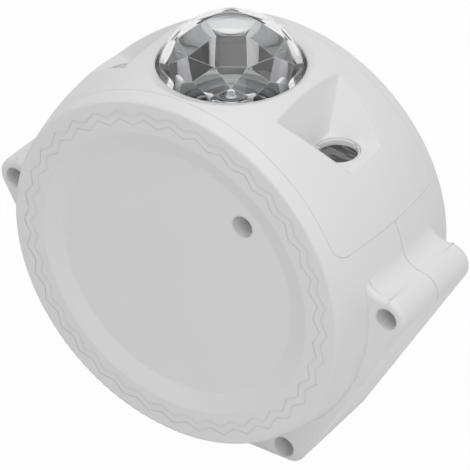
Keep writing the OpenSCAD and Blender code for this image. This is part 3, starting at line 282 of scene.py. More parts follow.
# %% Metals
def metal(name, colour, roughness, line=0.0002, stretch=(1, 1, 14)):
    f = Finish(name)
    drawn = f.node("ShaderNodeMapping", {}, {"Vector": f.place(), "Scale": stretch})
    lines = f.node("ShaderNodeTexNoise", {}, {
        "Vector": drawn, "Scale": 1 / line / max(stretch), "Detail": 3,
    })
    stain = f.fade(f.noise(0.004, 4), 0.45, 0.7)
    return f.surface(
        Base_Color=f.blend(stain, paint(colour), paint(colour, 0.8)), Metallic=1.0,
        Roughness=f.fade(lines, 0.3, 0.7, roughness - 0.06, roughness + 0.1),
        Normal=f.bump(lines, 0.00001, 0.3, f.round_edges(0.00015)),
    )


def coated(name, colour, roughness, peel=0.0009):
    f = Finish(name)
    dust = f.fade(f.noise(0.005, 5), 0.5, 0.8)
    return f.surface(
        Base_Color=f.blend(dust, paint(colour), paint(colour, 1.35)),
        Roughness=f.fade(f.noise(peel, 2), 0.3, 0.7, roughness - 0.06, roughness + 0.08),
        Normal=f.bump(f.noise(peel), 0.00002, 0.4, f.round_edges(0.0003)),
    )


# %% [markdown]
# Rubber is rough and a little dusty; a circuit board is glass laminate under a green lacquer,
# whose weave shows through as a fine grid and whose copper tracks lift the lacquer in lines.

# %% Rubber, leads and boards
def rubber(name, colour):
    f = Finish(name)
    dust = f.fade(f.noise(0.003, 5), 0.45, 0.75)
    return f.surface(
        Base_Color=f.blend(dust, paint(colour), paint(colour, 1.7)),
        Roughness=f.fade(f.noise(0.001, 3), 0.3, 0.7, 0.62, 0.8),
        Normal=f.bump(f.noise(0.0004), 0.00002, 0.5),
    )


def board(name, colour):
    f = Finish(name)
    weave = f.node("ShaderNodeTexWave", {"wave_type": "BANDS"}, {
        "Vector": f.place(), "Scale": 260.0, "Distortion": 1.5, "Detail": 1.0,
    }, out=1)
    tracks = f.cells(0.0035) > 0.42
    lacquer = f.blend(tracks * 0.35, paint(colour), paint(colour, 2.1))
    return f.surface(
        Base_Color=lacquer, Roughness=f.fade(weave, 0, 1, 0.28, 0.4), Coat_Weight=0.4,
        Normal=f.bump(weave + tracks, 0.00002, 0.5),
    )


# %% Give every CAD node its finish
finishes = {
    "shell": case_plastic("shell", (0.86, 0.86, 0.865), 0.44),
    "clear_dome": clear("clear_dome", (0.88, 0.885, 0.89)),
    "black_plastic": moulded("black_plastic", (0.1, 0.1, 0.105), 0.45, edge=0.0003),
    "gear_plastic": moulded("gear_plastic", colour_of["gear_plastic"], 0.4, edge=0.0001),
    "clear_optic": clear("clear_optic", (0.95, 0.96, 0.97), 0.02),
    "motor_can": metal("motor_can", colour_of["motor_can"], 0.3),
    "lamp_board": coated("lamp_board", colour_of["lamp_board"], 0.35),
    "sink_metal": metal("sink_metal", colour_of["sink_metal"], 0.42, stretch=(1, 14, 1)),
    "steel": metal("steel", colour_of["steel"], 0.36),
    "ring_plastic": moulded("ring_plastic", (0.84, 0.84, 0.85), 0.3, edge=0.0002),
    "finger_plastic": moulded("finger_plastic", (0.93, 0.92, 0.93), 0.35, edge=0.0002),
    # Opaque pale grey for the dome's facet-edge bevels: a painted highlight.
    "facet_edge": coated("facet_edge", (0.7, 0.7, 0.71), 0.3),
    "dark_glass": tinted_with_painted_reflection("dark_glass", (0.019, 0.0187, 0.0188)),
    "laser_brass": metal("laser_brass", colour_of["laser_brass"], 0.28),
    "green_board": board("green_board", colour_of["green_board"]),
    "speaker_steel": coated("speaker_steel", colour_of["speaker_steel"], 0.4),
    "magnet_iron": coated("magnet_iron", colour_of["magnet_iron"], 0.6),
    "cone_paper": rubber("cone_paper", colour_of["cone_paper"]),
    "grille_plastic": moulded("grille_plastic", colour_of["grille_plastic"], 0.44, edge=0.0002),
    "button_plastic": moulded("button_plastic", colour_of["button_plastic"], 0.4, edge=0.0002),
    "socket_steel": metal("socket_steel", colour_of["socket_steel"], 0.3),
    "foot_rubber": rubber("foot_rubber", colour_of["foot_rubber"]),
    "lead_red": rubber("lead_red", colour_of["lead_red"]),
    "lead_grey": rubber("lead_grey", colour_of["lead_grey"]),
}
for name, node in nodes.items():
    node.data.materials.clear()
    node.data.materials.append(finishes[slot_of[name]])
print(len(finishes), "finishes on", len(nodes), "nodes")

# %% [markdown]
# The new pieces are modelled as by hand: a ring of points is drawn at its size and place, then
# extruded, scaled and moved step by step up its profile, as on a lathe. The helper does that
# for any list of radii and heights, closes it, and leaves the piece with its place in its mesh.

# %% Lathe work and other helpers
TIP = 0.00001


def deselect_all():
    if bpy.context.object and bpy.context.object.mode != "OBJECT":
        bpy.ops.object.mode_set(mode="OBJECT")
    bpy.ops.object.select_all(action="DESELECT")


def begin(name):
    piece = bpy.context.object
    piece.name = name
    piece.data.name = name
    bpy.ops.object.mode_set(mode="EDIT")
    return piece


def done(piece, merge=0.0000002):
    bpy.ops.object.mode_set(mode="EDIT")
    bpy.ops.mesh.select_all(action="SELECT")
    bpy.ops.mesh.remove_doubles(threshold=merge)
    bpy.ops.mesh.normals_make_consistent(inside=False)
    bpy.ops.object.mode_set(mode="OBJECT")
    bpy.ops.object.transform_apply(location=True, rotation=True, scale=True)
    return piece


def pick(piece, kind, test):
    mesh = bmesh.from_edit_mesh(piece.data)
    for group in (mesh.verts, mesh.edges, mesh.faces):
        for part in group:
            part.select_set(False)
    chosen = [part for part in getattr(mesh, kind) if test(part)]
    for part in chosen:
        part.select_set(True)
    mesh.select_flush_mode()
    bmesh.update_edit_mesh(piece.data)
    return len(chosen)


def turned(name, centre, profile, segments=96, closed=False):
    deselect_all()
    radius, height = profile[0]
    bpy.ops.mesh.primitive_circle_add(
        vertices=segments, radius=radius, location=centre + Vector((0, 0, height)),
        fill_type="NOTHING" if closed or radius > 2 * TIP else "NGON",
    )
    piece = begin(name)
    bpy.ops.mesh.select_all(action="SELECT")
    if not closed:
        bpy.ops.mesh.edge_face_add()
        bpy.ops.mesh.select_all(action="SELECT")
    for next_radius, next_height in profile[1:]:
        bpy.ops.mesh.extrude_region_move(
            TRANSFORM_OT_translate={"value": (0, 0, next_height - height)})
        scale = next_radius / radius
        bpy.ops.transform.resize(value=(scale, scale, 1))
        radius, height = next_radius, next_height
    return done(piece)


def modify(piece, kind, **settings):
    deselect_all()
    bpy.context.view_layer.objects.active = piece
    piece.select_set(True)
    modifier = piece.modifiers.new(kind.lower(), kind)
    for key, setting in settings.items():
        setattr(modifier, key, setting)
    bpy.ops.object.modifier_apply(modifier=modifier.name)


def soften(piece, width, segments=3, angle=40):
    modify(piece, "BEVEL", width=width, segments=segments, limit_method="ANGLE",
           angle_limit=math.radians(angle), use_clamp_overlap=True)


def smooth(piece, angle=35):
    deselect_all()
    bpy.context.view_layer.objects.active = piece
    piece.select_set(True)
    bpy.ops.object.shade_smooth_by_angle(angle=math.radians(angle))


def dress(piece, body, slot, *stands_for):
    if not piece.data.materials:
        piece.data.materials.append(finishes[slot])
    if stands_for:
        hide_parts(*stands_for)
    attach(piece, body)
    print(piece.name, len(piece.data.polygons), "faces on", body)


def cut(piece, cutter):
    modify(piece, "BOOLEAN", object=cutter, operation="DIFFERENCE", solver="EXACT")
    bpy.data.objects.remove(cutter, do_unlink=True)


print("modelling helpers ready")

# %% [markdown]
# The dome is the projector's eye. Outside it is a smooth ball of clear acrylic that dips into
# the hole of the panel; inside it is cut into flat facets, which throw the ripples all round
# the room. Five corners sit near the top, then four rings of ten. The ball is turned on the
# lathe, the faceted core is drawn corner by corner, because no operator makes that pattern, and
# a boolean takes the core out. A narrow bevel on the facet edges gets an opaque pale grey
# finish: a painted highlight where the rounded edges would catch the light.

# %% Dome: the smooth outside
BALL_RADIUS = 0.0252
dome_low, dome_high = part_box("dome")
dome_axis = Vector(((dome_low.x + dome_high.x) / 2, (dome_low.y + dome_high.y) / 2, 0))
ball_height = dome_high.z - BALL_RADIUS
flange_radius = (dome_high.x - dome_low.x) / 2
FLANGE = 0.0017
start_angle = math.asin((dome_low.z + FLANGE - ball_height) / BALL_RADIUS)
ARC_STEPS = 40


def on_ball(angle):
    return BALL_RADIUS * math.cos(angle), ball_height + BALL_RADIUS * math.sin(angle)


arc = [on_ball(start_angle + (math.pi / 2 - start_angle) * i / ARC_STEPS)
       for i in range(ARC_STEPS)]
dome_profile = [
    (flange_radius, dome_low.z), (flange_radius, dome_low.z + FLANGE), *arc, (TIP, dome_high.z),
]
dome = turned("clear_dome", dome_axis, dome_profile, segments=160)
print("ball centre at height", round(ball_height, 4))

# %% Dome: the faceted core
FACET_RADIUS = 0.0232
FACET_TURN = math.radians(16)
TOP_CORNERS = 70
FACET_RINGS = (44.5, 29.0, 20.5, 2.0)
SIDES = 5
HALF_STEP = math.pi / SIDES / 2


def facet_corner(elevation, azimuth):
    level = math.radians(elevation)
    return dome_axis + Vector((
        FACET_RADIUS * math.cos(level) * math.cos(azimuth),
        FACET_RADIUS * math.cos(level) * math.sin(azimuth),
        FACET_RADIUS * math.sin(level) + ball_height,
    ))


core_data = bpy.data.meshes.new("facet_core")
mesh = bmesh.new()
top = [mesh.verts.new(facet_corner(TOP_CORNERS, FACET_TURN + 4 * i * HALF_STEP))
       for i in range(SIDES)]
rings = [
    [mesh.verts.new(facet_corner(level, FACET_TURN + (2 * i + (2 if k == 1 else 1)) * HALF_STEP))
     for i in range(2 * SIDES)]
    for k, level in enumerate(FACET_RINGS)
]
mesh.faces.new(top)
mesh.faces.new(rings[3][::-1])
for i in range(SIDES):
    mesh.faces.new((top[i], rings[0][2 * i - 1], rings[0][2 * i]))
    mesh.faces.new((top[i], rings[0][2 * i], rings[0][2 * i + 1], top[(i + 1) % SIDES]))
for i in range(2 * SIDES):
    after = (i + 1) % (2 * SIDES)
    mesh.faces.new((rings[0][i], rings[1][i], rings[0][after]))
    mesh.faces.new((rings[0][i], rings[1][i - 1], rings[1][i]))
    mesh.faces.new((rings[1][i - 1], rings[2][i], rings[1][i]))
    mesh.faces.new((rings[1][i], rings[2][i], rings[2][after]))
    mesh.faces.new((rings[2][i], rings[3][i], rings[3][after], rings[2][after]))
mesh.to_mesh(core_data)
mesh.free()
core = bpy.data.objects.new("facet_core", core_data)
bpy.context.scene.collection.objects.link(core)
cut(dome, core)
dome.data.materials.append(finishes["clear_dome"])
dome.data.materials.append(finishes["facet_edge"])
EDGE_WIDTH = 0.00005
# The bevel strips take the opaque pale facet_edge finish: painted highlight on the facet edges.
modify(dome, "BEVEL", width=EDGE_WIDTH, segments=1, limit_method="ANGLE", material=1,
       angle_limit=math.radians(11))
smooth(dome, 14)
dress(dome, "case", "clear_dome", "dome")

# %% [markdown]
# Under the dome the ripple plate turns on a toothed wheel. The plate is clear, its upper face
# is rolled into rings of waves, and eight white fingers on the wheel's rim hold it. Seen through
# the facets, the fingers are the pale upright bands in the dome. A finger is a box with rounded
# edges that leans in a little at its top; it is modelled once and copied round the axis.

# %% Ripple plate and its fingers
def placed(piece, matrix):
    piece.data.transform(matrix)
    return piece


def copies_of(piece, name, matrices):
    for matrix in matrices:
        twin = piece.copy()
        twin.data = piece.data.copy()
        twin.data.transform(matrix)
        bpy.context.scene.collection.objects.link(twin)
        twin.select_set(True)
        bpy.context.view_layer.objects.active = twin
    bpy.data.objects.remove(piece, do_unlink=True)
    return joined(name)


def joined(name):
    bpy.ops.object.join()
    whole = bpy.context.object
    whole.name = name
    whole.data.name = name
    return whole


def box_piece(name, low, high, edge=0.0):
    deselect_all()
    size = Vector(high) - Vector(low)
    bpy.ops.mesh.primitive_cube_add(size=1, location=(Vector(high) + Vector(low)) / 2)
    bpy.ops.transform.resize(value=size)
    piece = done(begin(name))
    if edge:
        soften(piece, edge, segments=2)
    return piece


PLATE_RADIUS = 0.0174
WAVES = 5
plate_low, plate_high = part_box("ripple_plate")
plate_floor = plate_low.z
wave_top = plate_high.z - plate_floor
wave_steps = [i / 60 for i in range(59, 0, -1)]
plate_profile = [(PLATE_RADIUS - 0.0002, 0), (PLATE_RADIUS, 0.0002), (PLATE_RADIUS, 0.0015)] + [
    (PLATE_RADIUS * s, wave_top - 0.0006 - 0.0005 * math.cos(2 * math.pi * WAVES * s))
    for s in wave_steps
]
plate = turned("rippled_plate", dome_axis + Vector((0, 0, plate_floor)), plate_profile)
smooth(plate, 50)
dress(plate, "ripple_drum", "clear_optic", "ripple_plate")

FINGERS = 8
FINGER_TURN = math.radians(144.5)
FINGER_IN, FINGER_OUT, FINGER_HALF = 0.0176, 0.0191, 0.0019
FINGER_ROOT, FINGER_RISE = 0.0008, 0.0155
GEAR_HEIGHT = 0.0055
gear_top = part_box("ripple_wheel")[0].z + GEAR_HEIGHT
finger = box_piece("finger", (FINGER_IN, -FINGER_HALF, gear_top - FINGER_ROOT),
                   (FINGER_OUT, FINGER_HALF, gear_top + FINGER_RISE))
deselect_all()
bpy.context.view_layer.objects.active = finger
finger.select_set(True)
bpy.ops.object.mode_set(mode="EDIT")
pick(finger, "faces", lambda face: face.normal.z > 0.9)
bpy.ops.transform.resize(value=(0.8, 0.86, 1))
bpy.ops.transform.translate(value=(-0.0012, 0, 0))
bpy.ops.object.mode_set(mode="OBJECT")
soften(finger, 0.0003, segments=3)
deselect_all()
fingers = copies_of(finger, "plate_fingers", [
    Matrix.Translation(dome_axis) @ Matrix.Rotation(FINGER_TURN + i * math.tau / FINGERS, 4, "Z")
    for i in range(FINGERS)
])
smooth(fingers, 40)
fingers.data.materials.append(finishes["finger_plastic"])
dress(fingers, "ripple_drum", "gear_plastic")

# %% [markdown]
# Each star window is a ring pressed into the floor of its pocket, with three little gaps round
# its edge for the fitter's tool, and a dark lens inside. Both are turned; the gaps are cut with
# one small box that steps round the ring. The right one is the mirror image of the left one.

# %% Window rings and lenses
def box_axis(node):
    low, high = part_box(node)
    return Vector(((low.x + high.x) / 2, (low.y + high.y) / 2, 0)), low.z, high.z


RING_OUTSIDE, RING_INSIDE, RING_LEDGE = 0.00735, 0.0067, 0.00585
RING_GAPS = (54, 174, 294)
GAP_WIDTH, GAP_DEPTH = 0.0014, 0.001
for side, word in ((-1, "left"), (1, "right")):
    axis, low, high = box_axis(word + "_window_ring")
    lens_axis, lens_low, lens_high = box_axis(word + "_window_lens")
    rise = high - low
    ledge = lens_low - low
    ring = turned(word + "_ring", axis + Vector((0, 0, low)), [
        (RING_LEDGE, 0), (RING_OUTSIDE - 0.0003, 0), (RING_OUTSIDE, 0.0003),
        (RING_OUTSIDE, rise - 0.0003), (RING_OUTSIDE - 0.0001, rise - 0.0001),
        (RING_OUTSIDE - 0.0002, rise), (RING_INSIDE + 0.0002, rise),
        (RING_INSIDE + 0.00006, rise - 0.00006), (RING_INSIDE, rise - 0.0002),
        (RING_INSIDE, ledge), (RING_LEDGE, ledge), (RING_LEDGE, 0),
    ], closed=True)
    for gap in RING_GAPS:
        cutter = box_piece("gap", (RING_INSIDE - 0.0006, -GAP_WIDTH / 2, rise - GAP_DEPTH),
                           (RING_OUTSIDE + 0.001, GAP_WIDTH / 2, rise + 0.001))
        turn = Matrix.Rotation(math.radians(gap if side > 0 else 180 - gap), 4, "Z")
        placed(cutter, Matrix.Translation(axis + Vector((0, 0, low))) @ turn)
        cut(ring, cutter)
    smooth(ring, 35)
    dress(ring, "case", "ring_plastic", word + "_window_ring")
    lens_radius = RING_INSIDE - 0.00005
    thick = lens_high - lens_low
    lens = turned(word + "_lens", lens_axis + Vector((0, 0, lens_low)), [
        (lens_radius - 0.0002, 0), (lens_radius, 0.0002), (lens_radius, thick - 0.00045),
        (lens_radius - 0.00015, thick - 0.0002), (lens_radius * 0.9, thick - 0.0001),
        (lens_radius * 0.6, thick - 0.00003), (lens_radius * 0.25, thick), (TIP, thick),
    ])
    smooth(lens, 40)
    dress(lens, "case", "dark_glass", word + "_window_lens")

# %% [markdown]
# Screws repeat all over the inside, so one function makes a whole set of them. It reads where
# they are from the CAD node: each loose part of the node is one screw, its longest side is its
# axis, and the wider end is its head. One screw is turned with a domed head and a ridged shank,
# gets its cross recess by a boolean, and is then copied onto every place.

# %% Places of the screws in a CAD node
def loose_parts(node):
    mesh = bmesh.new()
    mesh.from_mesh(nodes[node].data)
    bmesh.ops.remove_doubles(mesh, verts=mesh.verts, dist=0.000001)
    waiting = set(mesh.verts)
    parts = []
    while waiting:
        edge_of = [waiting.pop()]
        part = []
        while edge_of:
            vert = edge_of.pop()
            part.append(vert.co.copy())
            for edge in vert.link_edges:
                other = edge.other_vert(vert)
                if other in waiting:
                    waiting.remove(other)
                    edge_of.append(other)
        parts.append(part)
    mesh.free()
    return parts


def screw_place(points, length):
    low = Vector([min(p[i] for p in points) for i in range(3)])
    high = Vector([max(p[i] for p in points) for i in range(3)])
    axis = max(range(3), key=lambda i: abs((high - low)[i] - length) < 0.0003)
    centre = (low + high) / 2

    def width_at(end):
        near = [p for p in points if abs(p[axis] - end) < 0.0002]
        spread = [Vector([(p - centre)[i] for i in range(3) if i != axis]).length for p in near]
        return max(spread)

    head_low = width_at(low[axis]) > width_at(high[axis])
    direction = Vector((0, 0, 0))
    direction[axis] = 1 if head_low else -1
    start = centre.copy()
    start[axis] = low[axis] if head_low else high[axis]
    return start, direction


# %% One set of screws
def screws(name, node, shank, head, head_height, length, pitch=0.0006):
    whole = head_height + length
    profile = [(head * 0.62, 0), (head * 0.86, head_height * 0.14),
               (head * 0.97, head_height * 0.4), (head, head_height * 0.7), (head, head_height),
               (shank * 0.9, head_height)]
    turns = int((length - 2 * pitch) / pitch)
    for i in range(turns):
        profile += [(shank * 0.84, head_height + (i + 0.6) * pitch),
                    (shank, head_height + (i + 1) * pitch)]
    profile += [(shank * 0.8, whole - pitch), (shank * 0.3, whole)]
    screw = turned(name, Vector((0, 0, 0)), profile, segments=40)
    smooth(screw, 38)
    reach, slit = head * 0.6, 0.0003
    for across in ((reach, slit), (slit, reach)):
        cutter = box_piece("cross", (-across[0], -across[1], -0.001), (*across, 0.0008))
        cut(screw, cutter)
    places = [screw_place(points, whole) for points in loose_parts(node)]
    deselect_all()
    return copies_of(screw, name, [
        Matrix.Translation(start)
        @ Vector((0, 0, 1)).rotation_difference(direction).to_matrix().to_4x4()
        for start, direction in places
    ])


SMALL = (0.0011, 0.002, 0.0014)
SCREW_SETS = [
    ("case_screws", 0.00145, 0.0028, 0.002, 0.014),
    ("clamp_screws", *SMALL, 0.0099), ("heat_sink_screws", *SMALL, 0.0087),
    ("board_screws", *SMALL, 0.005), ("speaker_screws", *SMALL, 0.0043),
    ("button_board_screws", *SMALL, 0.005),
]
for node, shank, head, head_height, length in SCREW_SETS:
    pieces = screws(node.replace("screws", "fasteners"), node, shank, head, head_height, length)
    dress(pieces, "case", "steel", node)

# %% [markdown]
# The feet are stamped rubber discs with a groove, and the four buttons are dished caps on
# stems. Both are turned once and copied: the feet straight onto their pockets, the buttons
# after the lathe's axis has been turned to point into the case.

# %% Feet and buttons
INTO_CASE = Matrix.Rotation(math.radians(-90), 4, "X")
for foot in ("left_rear_foot", "right_rear_foot", "left_front_foot", "right_front_foot"):
    axis, low, high = box_axis(foot)
    radius = (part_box(foot)[1].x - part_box(foot)[0].x) / 2
    pad = turned(foot.replace("foot", "pad"), axis + Vector((0, 0, low)), [
        (0.0011, 0), (0.0015, 0.00025), (0.0021, 0.00025), (0.0024, 0), (radius - 0.0006, 0),
        (radius - 0.0002, 0.00012), (radius, 0.0004), (radius, high - low),
    ], segments=64)
    smooth(pad, 30)
    dress(pad, "case", "foot_rubber", foot)

CAP_RADIUS, DISH = 0.0045, 0.0006
for button in ("power_button", "light_button", "star_button", "sound_button"):
    low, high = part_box(button)
    deep = high.y - low.y
    flange = deep - 0.002
    cap_profile = [(0.0003, DISH)] + [
        (CAP_RADIUS * s, DISH * (1 - (s / 0.9) ** 2)) for s in (0.2, 0.4, 0.55, 0.7, 0.8, 0.87)
    ] + [
        (CAP_RADIUS * 0.93, 0), (CAP_RADIUS - 0.0001, 0.00012), (CAP_RADIUS, 0.00035),
        (CAP_RADIUS, flange), (CAP_RADIUS + 0.001, flange), (CAP_RADIUS + 0.001, flange + 0.001),
        (0.0017, flange + 0.001), (0.0017, deep - 0.0001), (0.0015, deep),
    ]
    cap = turned(button.replace("button", "cap"), Vector((0, 0, 0)), cap_profile, segments=72)
    placed(cap, Matrix.Translation(((low.x + high.x) / 2, low.y, (low.z + high.z) / 2)) @ INTO_CASE)
    smooth(cap, 35)
    dress(cap, button, "button_plastic", button)

# %% [markdown]
# The speaker behind the grille has a paper cone with a half-round roll at its rim and a
# convex dust cap. The motors are drawn cans with a rolled seam and a nose, the lamp has a
# domed lens over its four chips, and each star wheel carries a disc of fine grating. All are
# turned bodies, so each one is a row of radii and heights taken from a section drawing.

# %% Speaker cone
cone_low, cone_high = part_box("speaker_cone")
cone_profile = [(r * 0.001, h * 0.001) for r, h in (
    (0.4, 5.9), (2.5, 6.2), (4.2, 6.9), (5.0, 7.9), (5.5, 7.7), (9.0, 5.9), (13.5, 3.6),
    (17.9, 1.4), (18.2, 0.9), (18.7, 0.45), (19.4, 0.3), (20.0, 0.45), (20.4, 0.9), (21.0, 1.0),
    (21.0, 1.2), (20.3, 1.3), (19.4, 0.8), (18.5, 1.7), (13.5, 4.1), (9.0, 6.4), (5.3, 8.7),
    (4.2, 8.8), (4.2, 10),
)]
cone = turned("cone_and_roll", Vector((0, 0, 0)), cone_profile)
cone_front = Vector(((cone_low.x + cone_high.x) / 2, cone_low.y - 0.0003,
                     (cone_low.z + cone_high.z) / 2))
placed(cone, Matrix.Translation(cone_front) @ INTO_CASE)
smooth(cone, 30)
dress(cone, "case", "cone_paper", "speaker_cone")

# %% Motors, lamp lens and star gratings
NOSE_HEIGHT, BORE_DEPTH, BORE_RADIUS, NOSE_RADIUS = 0.0014, 0.0063, 0.00105, 0.0024
for motor in ("wheel_motor", "left_star_motor", "right_star_motor"):
    axis, low, high = box_axis(motor)
    radius = (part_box(motor)[1].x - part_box(motor)[0].x) / 2
    can_top = high - NOSE_HEIGHT - low
    inset = radius - 0.00015
    can = turned(motor.replace("motor", "can"), axis + Vector((0, 0, low)), [
        (radius * 0.3, 0), (radius - 0.0006, 0), (inset, 0.00015), (radius, 0.0006),
        (radius, 0.0018), (inset, 0.0019), (inset, 0.0021), (radius, 0.0022),
        (radius, can_top - 0.0005), (inset, can_top - 0.00015), (radius - 0.0005, can_top),
        (NOSE_RADIUS, can_top), (NOSE_RADIUS, high - low - 0.0001),
        (NOSE_RADIUS - 0.0001, high - low), (BORE_RADIUS, high - low),
        (BORE_RADIUS, can_top - BORE_DEPTH),
    ], segments=80)
    smooth(can, 35)
    dress(can, "case", "motor_can", motor)

axis, low, high = box_axis("lamp_lens")
CROWN_RADIUS, RIM_HEIGHT = 0.0088, 0.0016
crown_height = high - low
lens_dome = [
    (CROWN_RADIUS * math.cos(math.radians(a)),
     RIM_HEIGHT + (crown_height - RIM_HEIGHT) * math.sin(math.radians(a)))
    for a in range(0, 90, 5)
]
lamp_lens = turned("chip_lens", axis + Vector((0, 0, low)), [
    (0.0058, 0.0014), (0.0066, 0.0011), (0.0066, 0), (0.0092, 0), (0.0092, 0.0009), (0.009, 0.0011),
    *lens_dome, (TIP, crown_height),
])
smooth(lamp_lens, 35)
dress(lamp_lens, "case", "clear_optic", "lamp_lens")

for word in ("left", "right"):
    axis, low, high = box_axis(word + "_star_plate")
    grating = turned(word + "_grating", axis + Vector((0, 0, low)), [
        (0.0062, 0), (0.0064, 0.0002), (0.0064, high - low - 0.0002), (0.0062, high - low),
        (0.0052, high - low), (0.0051, high - low - 0.0001), (TIP, high - low - 0.0001),
    ])
    smooth(grating, 30)
    dress(grating, word + "_star_drum", "clear_optic", word + "_star_plate")

# %% [markdown]
# Inside the case, twisted pairs of wire run from the parts to the main board. A lead is drawn
# as its route's corner points, rounded where it bends, with two thin strands that wind round
# the route. Each strand is a curve with a round section, made a mesh at the end.

# %% Leads
STRAND, TWIST = 0.0005, 0.0065
ROUTES = {
    "lamp_lead": ("lead_red", [
        [(0, 12.2, 99.8), (0, 12.2, 101.0), (0, 22.5, 101.0), (0, 22.5, 58.0), (0, 25.5, 58.0)]]),
    "wheel_motor_lead": ("lead_grey", [
        [(0, -24.4, 87.2), (0, -24.4, 82.4), (-8, 22.5, 82.4), (-8, 22.5, 58), (-8, 25.5, 58)]]),
    "left_star_lead": ("lead_grey", [
        [(-41.1, 1.3, 87.7), (-41.1, 1.3, 85), (-20, 22.5, 59.1), (-20, 25.5, 59.1)],
        [(-37.2, -9.5, 90.2), (-37.2, -9.5, 85), (-41.1, 1.3, 85)]]),
    "right_star_lead": ("lead_grey", [
        [(41.1, 1.3, 87.7), (41.1, 1.3, 85), (20, 22.5, 59.1), (20, 25.5, 59.1)],
        [(37.2, -9.5, 90.2), (37.2, -9.5, 85), (41.1, 1.3, 85)]]),
    "speaker_lead": ("lead_grey", [[(15.3, -20.4, 59.8), (15.3, 22.5, 58), (15.3, 25.5, 58)]]),
    "button_lead": ("lead_grey", [[(-10, -23.9, 29), (-10, 22.5, 32), (-10, 25.5, 32)]]),
    "socket_lead": ("lead_red", [
        [(42.6, -11, 43.7), (40, -11, 45.2), (23, 22.5, 32), (23, 25.5, 32)]]),
}


def rounded_route(corners, reach=0.0022, steps=6):
    points = [Vector(c) * 0.001 for c in corners]
    route = [points[0]]
    for before, here, after in zip(points, points[1:], points[2:]):
        start = here + (before - here).normalized() * min(reach, (before - here).length * 0.45)
        end = here + (after - here).normalized() * min(reach, (after - here).length * 0.45)
        for i in range(steps + 1):
            t = i / steps
            route.append(start * (1 - t) ** 2 + here * (2 * t * (1 - t)) + end * t ** 2)
    route.append(points[-1])
    return route


def evenly(route, step=0.0006):
    points = []
    for a, b in zip(route, route[1:]):
        count = max(1, round((b - a).length / step))
        points += [a.lerp(b, i / count) for i in range(count)]
    return points + [route[-1]]


def strand(name, points, phase):
    data = bpy.data.curves.new(name, "CURVE")
    data.dimensions = "3D"
    data.bevel_depth = STRAND
    data.bevel_resolution = 3
    data.use_fill_caps = True
    spline = data.splines.new("POLY")
    spline.points.add(len(points) - 1)
    along = 0.0
    side = (points[1] - points[0]).orthogonal().normalized()
    for i, point in enumerate(points):
        ahead = (points[min(i + 1, len(points) - 1)] - points[max(i - 1, 0)]).normalized()
        side = (side - ahead * side.dot(ahead)).normalized()
        angle = phase + along / TWIST * math.tau
        offset = side * math.cos(angle) + ahead.cross(side) * math.sin(angle)
        spline.points[i].co = (*(point + offset * STRAND), 1)
        if i + 1 < len(points):
            along += (points[i + 1] - point).length
    made = bpy.data.objects.new(name, data)
    bpy.context.scene.collection.objects.link(made)
    return made


for node, (slot, runs) in ROUTES.items():
    strands = [strand(node, evenly(rounded_route(run)), phase)
               for run in runs for phase in (0, math.pi)]
    deselect_all()
    for wire in strands:
        wire.select_set(True)
    bpy.context.view_layer.objects.active = strands[0]
    bpy.ops.object.convert(target="MESH")
    wires = joined(node.replace("lead", "wires"))
    smooth(wires, 60)
    dress(wires, "case", slot, node)

# %% [markdown]
# The CAD keeps the boards plain. What makes a board look like one is small: a white plug where
# each lead ends, the chip's rows of legs, and a scatter of tiny resistors. They sit on the
# board's front side, and each kind is modelled once.

# %% Parts on the main board
board_low, board_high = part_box("main_board")
BOARD_FRONT = 0.0255
chip_middle = Vector(((board_low.x + board_high.x) / 2, 0, (board_low.z + board_high.z) / 2))
plugs = [box_piece("plug", (x - 0.0028, BOARD_FRONT - 0.0042, z - 0.0021),
                   (x + 0.0028, BOARD_FRONT, z + 0.0021), 0.0004)
         for x, z in ((0, 0.058), (-0.008, 0.058), (-0.02, 0.0591), (0.02, 0.0591), (0.0153, 0.058),
                      (-0.01, 0.032), (0.023, 0.032))]
deselect_all()
for plug in plugs:
    plug.select_set(True)
bpy.context.view_layer.objects.active = plugs[0]
plug_row = joined("board_plugs")
smooth(plug_row, 30)
dress(plug_row, "case", "gear_plastic")

leg = box_piece("leg", (-0.0009, -0.0009, -0.0002), (0.0009, 0, 0.0002), 0.00012)
deselect_all()
legs = copies_of(leg, "chip_legs", [
    Matrix.Translation((chip_middle.x + side * 0.0052, BOARD_FRONT, chip_middle.z + row * 0.00127))
    for side in (-1, 1) for row in (-3, -2, -1, 0, 1, 2, 3)
])
dress(legs, "case", "steel")

resistor = box_piece("resistor", (-0.001, -0.0006, -0.0006), (0.001, 0, 0.0006), 0.0001)
deselect_all()
resistors = copies_of(resistor, "resistors", [
    Matrix.Translation((chip_middle.x + x * 0.001, BOARD_FRONT, chip_middle.z + z * 0.001))
    for x, z in ((-8.5, 6), (-8.5, 8.4), (7.9, 7.2), (7.9, 9.6), (-2, 9.8), (2.4, 9.8), (-2, -9),
                 (2.4, -9), (2.4, -11.5), (7.9, -12), (-20, 3), (-20, 5.4), (21, 4), (21, 1.6))
])
dress(resistors, "case", "magnet_iron")

# %% [markdown]
# The scene is a plain one: a pale floor that fades into a white background, a big soft lamp
# overhead, another behind the projector on the camera's right, and a pale world. The white comes
# from what the camera and the mirror rays see, so the lamps can stay at a level at which a colour
# renders about as it is written.

# %% Floor, world and lamps
WHITE = (1, 1, 1, 1)


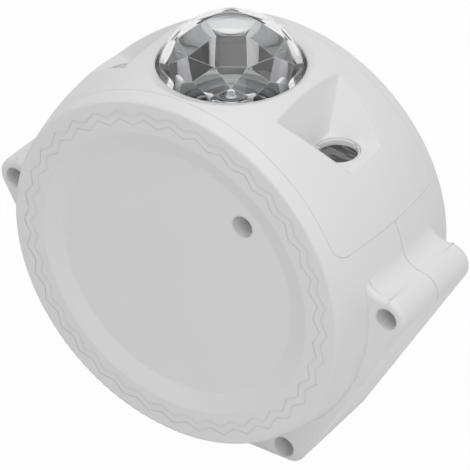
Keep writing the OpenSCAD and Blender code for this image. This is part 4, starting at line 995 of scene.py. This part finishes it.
def seen_directly(f):
    rays = [f.node("ShaderNodeLightPath", out=name)
            for name in ("Is Camera Ray", "Is Glossy Ray", "Is Transmission Ray")]
    return f.node("ShaderNodeMath", {"operation": "MAXIMUM"}, {
        0: f.node("ShaderNodeMath", {"operation": "MAXIMUM"}, {0: rays[0], 1: rays[1]}), 1: rays[2],
    })


FLOOR_SIZE, FLOOR_GLOW = 6.0, 0.97
deselect_all()
bpy.ops.mesh.primitive_plane_add(size=FLOOR_SIZE, location=(0, 0, -0.0001))
floor = bpy.context.object
floor.name = "floor"
f = Finish("pale_floor")
matt = f.node("ShaderNodeBsdfDiffuse", {}, {"Color": (0.75, 0.75, 0.75, 1)})
glow = f.node("ShaderNodeEmission", {}, {"Color": WHITE, "Strength": 1.0})
mixed = f.node("ShaderNodeMixShader", {}, {0: seen_directly(f) * FLOOR_GLOW, 1: matt, 2: glow})
f.node("ShaderNodeOutputMaterial", {}, {"Surface": mixed})
floor.data.materials.append(f.material)

LIT_LEVEL, SEEN_LEVEL = 0.5, 1.0
world = bpy.data.worlds.new("pale_world")
bpy.context.scene.world = world
f = Finish("pale_world", world)
level = f.fade(seen_directly(f), 0, 1, LIT_LEVEL, SEEN_LEVEL)
sky = f.node("ShaderNodeBackground", {}, {"Color": WHITE, "Strength": level})
f.node("ShaderNodeOutputWorld", {}, {"Surface": sky})


def lamp(name, place, aim, size, power):
    data = bpy.data.lights.new(name, "AREA")
    data.shape = "RECTANGLE"
    data.size, data.size_y = size
    data.energy = power
    made = bpy.data.objects.new(name, data)
    bpy.context.scene.collection.objects.link(made)
    made.location = place
    made.rotation_mode = "QUATERNION"
    made.rotation_quaternion = (aim - Vector(place)).to_track_quat("-Z", "Y")
    return made


lamp("overhead", (-0.15, 0.1, 1.1), TARGET, (1.0, 1.0), 3.3)
lamp("from_behind", (-0.9, 1.0, 0.8), TARGET, (0.8, 0.8), 3.6)
print("stage set")

# %% Look settings
bpy.context.scene.view_settings.view_transform = "Standard"
